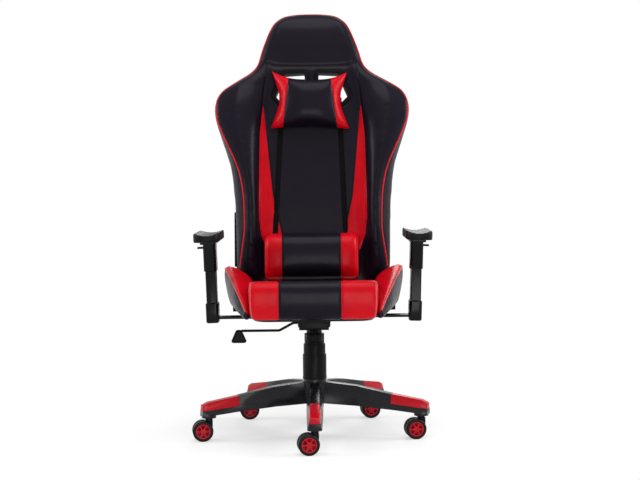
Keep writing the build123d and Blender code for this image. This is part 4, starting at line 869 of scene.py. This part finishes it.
FACE_SEAMS = [
    finer([*SLASH[:4], (0.163, 0.07)]),
    finer([SLASH[0], *reversed(SLASH[3:])]),
    curve_of((0.148, 0.568), (0.144, 0.61), (0.138, 0.65), (0.132, 0.694)),
]
FACE_SEAMS += [mirrored(run) for run in FACE_SEAMS]
HEAD_SEAM = curve_of((-0.132, 0.694), (-0.105, 0.686), (0, 0.684), (0.105, 0.686), (0.132, 0.694))
FACE_SEAMS.append(HEAD_SEAM)
REAR_PANEL = curve_of(
    (0.165, 0.07), (0.172, 0.25), (0.185, 0.38), (0.222, 0.48), (0.238, 0.55),
    (0.215, 0.61), (0.135, 0.68), (0.112, 0.745), (0.085, 0.805), (0.04, 0.824), (0.0, 0.826),
    count=90,
)
REAR_SEAMS = [REAR_PANEL, mirrored(REAR_PANEL), finer([(-0.205, 0.47), (0.205, 0.47)])]

back_rows = np.concatenate((
    [-0.024], np.arange(BACK_FOOT, 0.0, 0.004), np.arange(0.003, 0.825, 0.007),
    np.arange(0.828, BACK_TOP, 0.003), [BACK_TOP + 0.0008],
))
back = loft("backrest_cover", [back_section(height) for height in back_rows])
cut_openings(back)
back_seams = [edge_run()]
back_seams += [lay_on_back(back, run) for run in FACE_SEAMS]
back_seams += [lay_on_back(back, run, front=False) for run in REAR_SEAMS]


def held_back(points):
    """Hold the foot by the hinges, the collars' seats, the pillows' rest and the lever's side."""
    across, height, depth = to_back(points)
    across = np.abs(across)
    foot = ramp(0.075 - height, 0.03)
    flat = np.stack((across, height), 1)
    near = np.clip(1.3 + inside_distance(flat, OPENING) / 0.02, 0, 1)
    rest = ramp(0.14 - across, 0.012) * (depth < 0.03) * 0.85
    outer = ramp(across - OUTLINE_X(height) + 0.014, 0.01) * (height < 0.3)
    return np.maximum.reduce((foot, near, rest, outer))


inflate(back, 0.006, 0.007, back_seams, held_back)
refine(back)
sew(back, back_seams)
sew(back, [lay_on_back(back, HEAD_SEAM)], 0.0024, 0.0085)
across, height, depth = to_back(coordinates(back.data))
slash_depth = inside_distance(np.stack((np.abs(across), height), 1), SLASH)
pad(back, np.where(depth > 0.004, slash_depth, -0.05), "back", "backrest")

PIPING_R = 0.0026
STITCH_INSET = 0.0035   # how far a row of stitches lies from its seam
STITCH_LIFT = 0.0002
piping("back_piping", "back", snap_to(back, edge_run(), 0.0006), PIPING_R, RED_PIPING)
for number, run in enumerate(FACE_SEAMS[:-1]):
    beside = (-math.copysign(STITCH_INSET, np.mean(run[:, 0])), 0)
    stitches(f"back_stitches_{number}", "back", lay_on_back(back, run + beside, STITCH_LIFT))

# ---- pillows and their straps

PILLOW_SHIFT = -0.006   # both pillows hang a little towards the sitter's right
PILLOW_REAR = 0.0196    # depth of the plane that they rest on


def held_pillow(points):
    """A pillow can't swell where it rests on the back."""
    return ramp(PILLOW_REAR + 0.004 - to_back(points)[2], 0.003)


def pillow(node, sections, voxel, cap, seams, half_black, edges):
    """A stuffed pillow, red beyond its black middle, whose edges have stitches beside them."""
    piece = loft(f"{node}_cover", sections, strips=True)
    inflate(piece, voxel, cap, seams, held_pillow)
    refine(piece)
    sew(piece, seams, 0.0018, 0.003)
    across, height, _ = to_back(coordinates(piece.data))
    pad(piece, np.abs(across - PILLOW_SHIFT) - half_black(height), "back", node)
    for number, run in enumerate(edges):
        inward = (-0.004 if run[0][0] > PILLOW_SHIFT else 0.004, 0)
        row = lay_on_back(piece, run + inward, STITCH_LIFT)
        stitches(f"{node}_stitches_{number}", "back", row)


def pillow_section(low, high, thick, fullness):
    """Heights and depths of a section up a pillow, flat behind and crowned in front."""
    turn = np.linspace(0, math.pi, 28)
    drop = np.sign(np.cos(turn)) * np.abs(np.cos(turn)) ** 0.62
    front = 0.5 * (low + high) + 0.5 * (high - low) * drop
    crown = 0.001 + (thick - 0.001) * np.sin(turn) ** fullness
    heights = np.concatenate((front, front[::-1]))
    return heights, np.concatenate((crown, np.zeros(len(turn)))) + PILLOW_REAR


HEAD_LOW, HEAD_HIGH = 0.488, 0.673
HEAD_TILT = -0.022      # the head pillow hangs a little lower at the sitter's left


def head_half_width(height):
    """The head pillow is narrowest at its waist and widest at its lower corners."""
    middle = 0.5 * (HEAD_LOW + HEAD_HIGH)
    share = (height - middle) / (HEAD_HIGH - middle)
    return 0.0915 + (0.03 - 0.0025 * share) * np.abs(share) ** 1.3


def head_section(share):
    """Section of the head pillow at a share of its half width."""
    end = abs(share)
    low = HEAD_LOW + 0.009 * (1 - end ** 2)
    high = HEAD_HIGH - 0.033 * (1 - end ** 3.2) ** 0.9
    thick = 0.009 + 0.05 * (1 - end ** 2.6) ** 0.7
    heights, depths = pillow_section(low, high, thick, 0.72)
    across = share * head_half_width(heights)
    return from_back(across + PILLOW_SHIFT, heights + HEAD_TILT * across, depths)


def head_border(height):
    """Half width of the head pillow's black middle."""
    return np.interp(height, (HEAD_LOW, HEAD_HIGH - 0.02), (0.082, 0.062))


def borders(half_black, heights):
    """Both edges of a pillow's black middle, as (across, height) points."""
    return [
        np.stack((side * half_black(heights) + PILLOW_SHIFT, heights), 1) for side, _ in SIDES
    ]


head_sections = [head_section(share) for share in np.sin(np.linspace(-1, 1, 41) * math.pi / 2)]
head_borders = borders(head_border, np.linspace(HEAD_LOW - 0.005, HEAD_HIGH, 24))
head_blank = loft("head_blank", head_sections, strips=True)
head_seams = [lay_on_back(head_blank, run) for run in head_borders]
head_seams += [head_sections[0], head_sections[-1]]
bpy.data.objects.remove(head_blank)
pillow("head_pillow", head_sections, 0.0042, 0.006, head_seams, head_border, head_borders)

LUMBAR_LOW, LUMBAR_HIGH = 0.03, 0.171
LUMBAR_HALF = 0.139
LUMBAR_FULLNESS = 0.55


def lumbar_border(height):
    """Half width of the lumbar pillow's black middle."""
    return 0.0872 + 0 * height


def lumbar_section(share):
    """Section of the lumbar pillow at a share of its half width, tucked in at its ends."""
    end = abs(share)
    tuck = 0.008 * max(0, end - 0.9) * 10
    thick = 0.079 - 0.008 * end ** 8 - tuck
    section = pillow_section(
        LUMBAR_LOW + tuck / 2, LUMBAR_HIGH - tuck / 2, thick, LUMBAR_FULLNESS
    )
    return from_back(share * LUMBAR_HALF + PILLOW_SHIFT, *section)


lumbar_shares = np.concatenate(([-1, -0.985, -0.95], np.linspace(-0.9, 0.9, 31), [0.95, 0.985, 1]))
border_section = pillow_section(LUMBAR_LOW, LUMBAR_HIGH, 0.078, LUMBAR_FULLNESS)
lumbar_seams = [
    from_back(side * lumbar_border(0) + PILLOW_SHIFT, *border_section) for side, _ in SIDES
]
lumbar_seams += [lumbar_section(share) for share in (-0.985, 0.985)]
pillow(
    "lumbar_pillow", [lumbar_section(share) for share in lumbar_shares],
    0.0046, 0.005, lumbar_seams, lumbar_border,
    borders(lumbar_border, np.linspace(LUMBAR_LOW, LUMBAR_HIGH, 30)),
)

STRAP_WIDTH = 0.016
STRAP_THICK = 0.0013


def ribbon(name, run, faces_to):
    """Flat webbing along a run of points, with its flat side towards a direction at each."""
    run = [Vector(point) for point in run]
    half = STRAP_WIDTH / 2
    edge = STRAP_THICK / 2
    corners = (
        (-half, 0), (-half + edge, edge), (half - edge, edge),
        (half, 0), (half - edge, -edge), (-half + edge, -edge),
    )
    rings = []
    for i, place in enumerate(run):
        along = (run[min(i + 1, len(run) - 1)] - run[max(i - 1, 0)]).normalized()
        across = along.cross(Vector(faces_to[i])).normalized()
        out = across.cross(along).normalized()
        rings.append(np.array([place + across * x + out * d for x, d in corners]))
    piece = loft(name, rings)
    shade_smooth(piece.data)
    trim(piece, "back", BLACK_WEBBING)
    return piece


STRAP_FOOT = (0.107, 0.146)
STRAP_HEAD = (0.0865, 0.5795)
STRAP_SHIFT = (-0.009, -0.004)  # both straps hang towards the sitter's right, as the pillow does
STRAP_POINTS = 60


def turn_in(across, height, start, end):
    """Points and facings of a strap that turns over an edge and goes back through an opening."""
    radius = 0.004
    run = []
    faces = []
    for angle in np.linspace(0, math.pi / 2, 7):
        depth = start - radius * (1 - math.cos(angle))
        run.append(from_back(across, height + radius * math.sin(angle), depth))
        faces.append(FORWARD * math.cos(angle) + UPWARD * math.sin(angle))
    run.append(from_back(across, height + radius, end))
    return run, [*faces, UPWARD]


for side, hand in SIDES:
    line = np.linspace(STRAP_FOOT, STRAP_HEAD, STRAP_POINTS) * (side, 1)
    line[:, 0] += np.linspace(*STRAP_SHIFT, STRAP_POINTS)
    laid = lay_on_back(back, line, 0.0011)
    highest = max(to_back(np.array([laid[-1]]))[2][0], 0.0172)
    turned, faces = turn_in(line[-1][0], STRAP_HEAD[1] + 0.003, highest + 0.0016, -0.03)
    facing = [FORWARD] * (len(laid) - 1) + faces
    ribbon(f"lumbar_strap_{hand}", [*laid[:-1], *turned], facing)

# The head pillow's strap goes round the web between the openings. Half of it, as place and
# facing across the back and forward: straight back through an opening and round behind.
LOOP_X, LOOP_HEIGHT, LOOP_REAR = 0.0345, 0.603, -0.033
LOOP_R = 0.006
half_loop = [(LOOP_X, depth, 1, 0) for depth in np.linspace(0.017, LOOP_REAR, 8)]
for angle in np.linspace(0.2, math.pi / 2, 5):
    out, back_by = math.cos(angle), math.sin(angle)
    half_loop.append((LOOP_X - LOOP_R * (1 - out), LOOP_REAR - LOOP_R * back_by, out, -back_by))
loop = np.concatenate((np.array(half_loop) * (-1, 1, -1, 1), half_loop[::-1]))
ribbon(
    "head_strap", [from_back(x, LOOP_HEIGHT, depth) for x, depth, _, _ in loop],
    [Vector((x, 0, 0)) + FORWARD * depth for _, _, x, depth in loop],
)
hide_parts("pillow_straps")

# ---- the seat

SEAT_HALF = SEAT_HIGH.x - 0.0003
ROLL_Y = SEAT_LOW.y + 0.0375
ROLL_TOP = SEAT_HIGH.z - 0.003
ROLL_LOW = SEAT_LOW.z + 0.003
ROLL_BACK_Y = -0.215    # behind this the underside is flat and rests on the frame
ROLL_SEAM_Y = -0.214
PAN_LOW = 0.3636
SEAT_BACK_Y = SEAT_HIGH.y - 0.0015
SEAT_TOP = track(
    (-0.25, 0.4595), (-0.216, 0.45), (-0.15, 0.4475), (0.02, 0.436), (0.138, 0.421)
)
SEAT_BORDER = 0.0846
SEAT_SHIFT = -0.009     # the black middle is sewn a little towards the sitter's right
ROLL_FLARE = 0.0035     # how far the front roll's ends stand over the seat's sides


def seat_section(share):
    """Section along the seat, with its front roll, at a share of its half width."""
    end = abs(share)
    pinch = 0.5 * max(0, end - 0.93) / 0.07
    middle_z = 0.5 * (ROLL_TOP + ROLL_LOW)
    reach = 0.5 * (ROLL_TOP - ROLL_LOW) - 0.006 * pinch
    turn = np.linspace(math.radians(70), math.radians(278), 26)
    out, up = np.cos(turn), np.sin(turn)
    roll_y = ROLL_Y + (0.0345 - 0.006 * pinch) * np.sign(out) * np.abs(out) ** 0.8
    roll_z = middle_z + reach * np.sign(up) * np.abs(up) ** 0.72
    under = [(-0.226, ROLL_LOW + 0.003), (-0.219, PAN_LOW), (-0.1, PAN_LOW), (0.05, PAN_LOW)]
    rear = [(SEAT_BACK_Y - 0.004, PAN_LOW + 0.001), (SEAT_BACK_Y, PAN_LOW + 0.01),
            (SEAT_BACK_Y, 0.409), (SEAT_BACK_Y - 0.008, 0.4195)]
    dish = 0.01 * (1 - end ** 2)
    top = [(y, float(SEAT_TOP(y)) - 0.006 * pinch - dish * (y > -0.2))
           for y in np.linspace(0.115, -0.235, 22)]
    y, z = np.array([*zip(roll_y, roll_z), *under, *rear, *top]).T
    taper = 0.006 * ramp(0.4 - z, 0.05) ** 1.3 * (y < ROLL_BACK_Y)
    flare = ROLL_FLARE * ramp(-0.205 - y, 0.02)
    return np.stack((share * (SEAT_HALF + flare - taper), y, z), 1)


seat_shares = np.concatenate(([-1, -0.985, -0.96], np.linspace(-0.93, 0.93, 45), [0.96, 0.985, 1]))
seat = loft("seat_cover", [seat_section(share) for share in seat_shares])


def seat_border(y):
    """Half width of the seat's black middle, which widens towards the back."""
    return SEAT_BORDER + 0.02 * ramp(y - ROLL_SEAM_Y, 0.35)


def seat_line(side):
    """The seam between the seat's black middle and a red side."""
    line = seat_section((side * SEAT_BORDER + SEAT_SHIFT) / SEAT_HALF)
    line[:, 0] = side * seat_border(line[:, 1]) + SEAT_SHIFT
    return line


def seat_end(side):
    """The end seam of the front roll."""
    return seat_section(side * 0.975)[:30]


roll_seam = np.array([(x, ROLL_SEAM_Y, 0.4515) for x in np.linspace(-0.168, 0.168, 80)])
seat_seams = [seat_line(1), seat_line(-1), seat_end(1), seat_end(-1), roll_seam]


def held_seat(points):
    """The underside rests on the frame and the sides on the bolsters."""
    under = ramp(0.372 - points[:, 2], 0.006) * (points[:, 1] > ROLL_BACK_Y)
    beside = ramp(np.abs(points[:, 0]) - 0.16, 0.01)
    return np.maximum(under, 0.9 * beside)


inflate(seat, 0.0052, 0.006, seat_seams, held_seat)
refine(seat)
sew(seat, seat_seams)
places = coordinates(seat.data)
underside = (places[:, 2] < 0.3655) & (places[:, 1] > ROLL_BACK_Y)
red = np.abs(places[:, 0] - SEAT_SHIFT) - seat_border(places[:, 1])
pad(seat, np.where(underside, -0.05, red), "seat", "seat_cushion")
seat.data.materials.append(DUST_CLOTH)
paint_by(seat, lambda center, normal: int(normal.z < -0.8 and center.y > ROLL_BACK_Y))

THIN_PIPING_R = 0.0018
for side, hand in SIDES:
    run = snap_to(seat, seat_end(side)[2:27], STITCH_LIFT)
    piping(f"roll_piping_{hand}", "seat", run, THIN_PIPING_R, PALE_EDGE)
    beside = seat_section((side * (SEAT_BORDER - 0.004) + SEAT_SHIFT) / SEAT_HALF)[:22]
    stitches(f"roll_stitches_{hand}", "seat", snap_to(seat, beside, STITCH_LIFT))
roll_row = snap_to(seat, roll_seam + (0, 0.004, 0.02), STITCH_LIFT)
stitches("roll_seam_stitches", "seat", roll_row)

# Bolster sections at the rear and at the front tip, as (distance from the middle, height). The
# fourth corner is the piped ridge between the red upper side and the black flank.
BOLSTER_REAR = np.array((
    (0.1735, 0.352), (0.1735, 0.4405), (0.242, 0.482),
    (0.2715, 0.4765), (0.257, 0.386), (0.244, 0.351),
))
BOLSTER_TIP = np.array((
    (0.171, 0.357), (0.1755, 0.372), (0.178, 0.3835),
    (0.184, 0.3815), (0.191, 0.371), (0.1875, 0.358),
))
BOLSTER_Y = (0.1365, -0.2705)
RIDGE = 3


def bolster_y(share):
    return BOLSTER_Y[0] + share * (BOLSTER_Y[1] - BOLSTER_Y[0])


def bolster_corners(share):
    """Corners of a bolster's section at a share of the way from its rear to its tip."""
    corners = BOLSTER_REAR + share * (BOLSTER_TIP - BOLSTER_REAR)
    bulge = 0.004 * math.sin(math.pi * share)
    corners[2:5] += ((0, bulge), (0, bulge), (bulge / 2, 0))
    return corners


def bolster_section(side, share):
    """Section of a bolster, a little smaller at its very ends."""
    corners = bolster_corners(share)
    middle = corners.mean(0)
    shrink = 0.06 if share in (0, 1) else 0
    outline = round_off(middle + (corners - middle) * (1 - shrink))
    return np.array([(side * x, bolster_y(share), z) for x, z in outline])


def ridge(side, inset=0.0):
    """The line along a bolster's ridge, from its rear to its tip."""
    run = []
    for share in np.linspace(0.01, 0.985, 50):
        corners = bolster_corners(share)
        x, z = corners[RIDGE] + (corners.mean(0) - corners[RIDGE]) * inset
        run.append((side * x, bolster_y(share), z))
    return np.array(run)


def red_side(points):
    """Distance on to the red upper side of a bolster, negative on its black flank."""
    share = np.clip((points[:, 1] - BOLSTER_Y[0]) / (BOLSTER_Y[1] - BOLSTER_Y[0]), 0, 1)
    distance = np.zeros(len(points))
    for i, (x, _, z) in enumerate(points):
        corners = bolster_corners(share[i])
        edge = corners[RIDGE]
        inward, outward = corners[RIDGE - 1] - edge, corners[RIDGE + 1] - edge
        split = inward / np.linalg.norm(inward) + outward / np.linalg.norm(outward)
        split /= np.linalg.norm(split)
        distance[i] = (abs(x) - edge[0]) * -split[1] + (z - edge[1]) * split[0]
    return -distance if distance[np.argmax(points[:, 2])] < 0 else distance


def held_bolster(points):
    """Still along the cushion, on the frame and beside the hinge covers."""
    inner = ramp(0.186 - np.abs(points[:, 0]), 0.01)
    low = ramp(0.372 - points[:, 2], 0.012)
    rear = ramp(points[:, 1] - 0.105, 0.02)
    return np.maximum.reduce((inner, low, rear))


bolster_shares = np.concatenate(([0, 0.004, 0.012], np.linspace(0.03, 0.97, 40), [0.99, 1]))
for side, hand in SIDES:
    sections = [bolster_section(side, share)[::side] for share in bolster_shares]
    bolster = loft(f"bolster_cover_{hand}", sections)
    inflate(bolster, 0.0046, 0.005, [ridge(side)], held_bolster)
    refine(bolster)
    sew(bolster, [ridge(side)], 0.0015, 0.003)
    red = red_side(coordinates(bolster.data))
    pad(bolster, red, "seat", f"seat_bolster_{hand}")
    edge = snap_to(bolster, ridge(side, inset=0.03), 0.0004)
    piping(f"bolster_piping_{hand}", "seat", edge, THIN_PIPING_R, PALE_EDGE)

# ---- floor, light and camera


def floor_material():
    """Pale floor that keeps the shadows near the chair and runs out to white."""
    mix = Recipe("studio_floor", Roughness=0.75)
    tone = mix.blend(mix.noise(180, 2), (0.88, 0.88, 0.88), (0.91, 0.91, 0.91))
    mix.put(tone, mix.shader.inputs["Base Color"])
    away = mix.node("VectorMath", {"operation": "LENGTH"}, Vector=mix.place).outputs["Value"]
    white = mix.node("Emission", Color=(1, 1, 1, 1)).outputs[0]
    share = mix.calculate(
        "MULTIPLY", mix.spread(away, 0.25, 0.75, 0.5, 1, "SMOOTHSTEP"), mix.seen_directly()
    )
    both = mix.node("MixShader")
    for output, socket in zip((share, mix.shader.outputs[0], white), both.inputs):
        mix.put(output, socket)
    mix.put(both.outputs[0], mix.nodes["Material Output"].inputs["Surface"])
    return mix.made


FLOOR_HALF = 30.0
corners = [(x * FLOOR_HALF, y * FLOOR_HALF, 0) for x, y in ((-1, -1), (1, -1), (1, 1), (-1, 1))]
floor = add_object("floor", mesh_from("floor", corners, [(0, 1, 2, 3)]))
floor.data.materials.append(floor_material())

studio = Recipe("studio", world=True, Color=(1, 1, 1, 1))
level = studio.spread(studio.seen_directly(), 0, 1, 0.24, 1)
studio.put(level, studio.shader.inputs["Strength"])
bpy.context.scene.world = studio.made


def softbox(name, place, aim, size, power):
    """A square area light pointing at a place."""
    lamp = bpy.data.lights.new(name, "AREA")
    setup(lamp, shape="SQUARE", size=size, energy=power)
    holder = add_object(name, lamp)
    holder.location = place
    holder.rotation_euler = (Vector(aim) - Vector(place)).to_track_quat("-Z", "Y").to_euler()


softbox("overhead_box", (0.2, -1.0, 3.2), (0, 0, 0.5), 2.2, 56)
softbox("front_box", (0.1, -2.7, 0.55), (0, 0, 0.45), 1.2, 20)
softbox("left_box", (-2.7, 0.2, 1.7), (0, 0, 0.7), 1.4, 46)
softbox("right_box", (2.7, 0.2, 1.7), (0, 0, 0.7), 1.4, 58)
softbox("rear_box", (0.4, 3.2, 2.0), (0, 0, 0.6), 1.4, 26)

lens = setup(bpy.data.cameras.new("camera"), sensor_width=36, lens=81.4, clip_end=100)
camera = add_object("camera", lens)
camera.location = (0.0224, -4.152, 0.768)
camera.rotation_mode = "XYZ"
camera.rotation_euler = (math.radians(90 - 2.89), math.radians(0.7), 0)
scene = bpy.context.scene
scene.camera = camera
scene.view_settings.view_transform = "Standard"
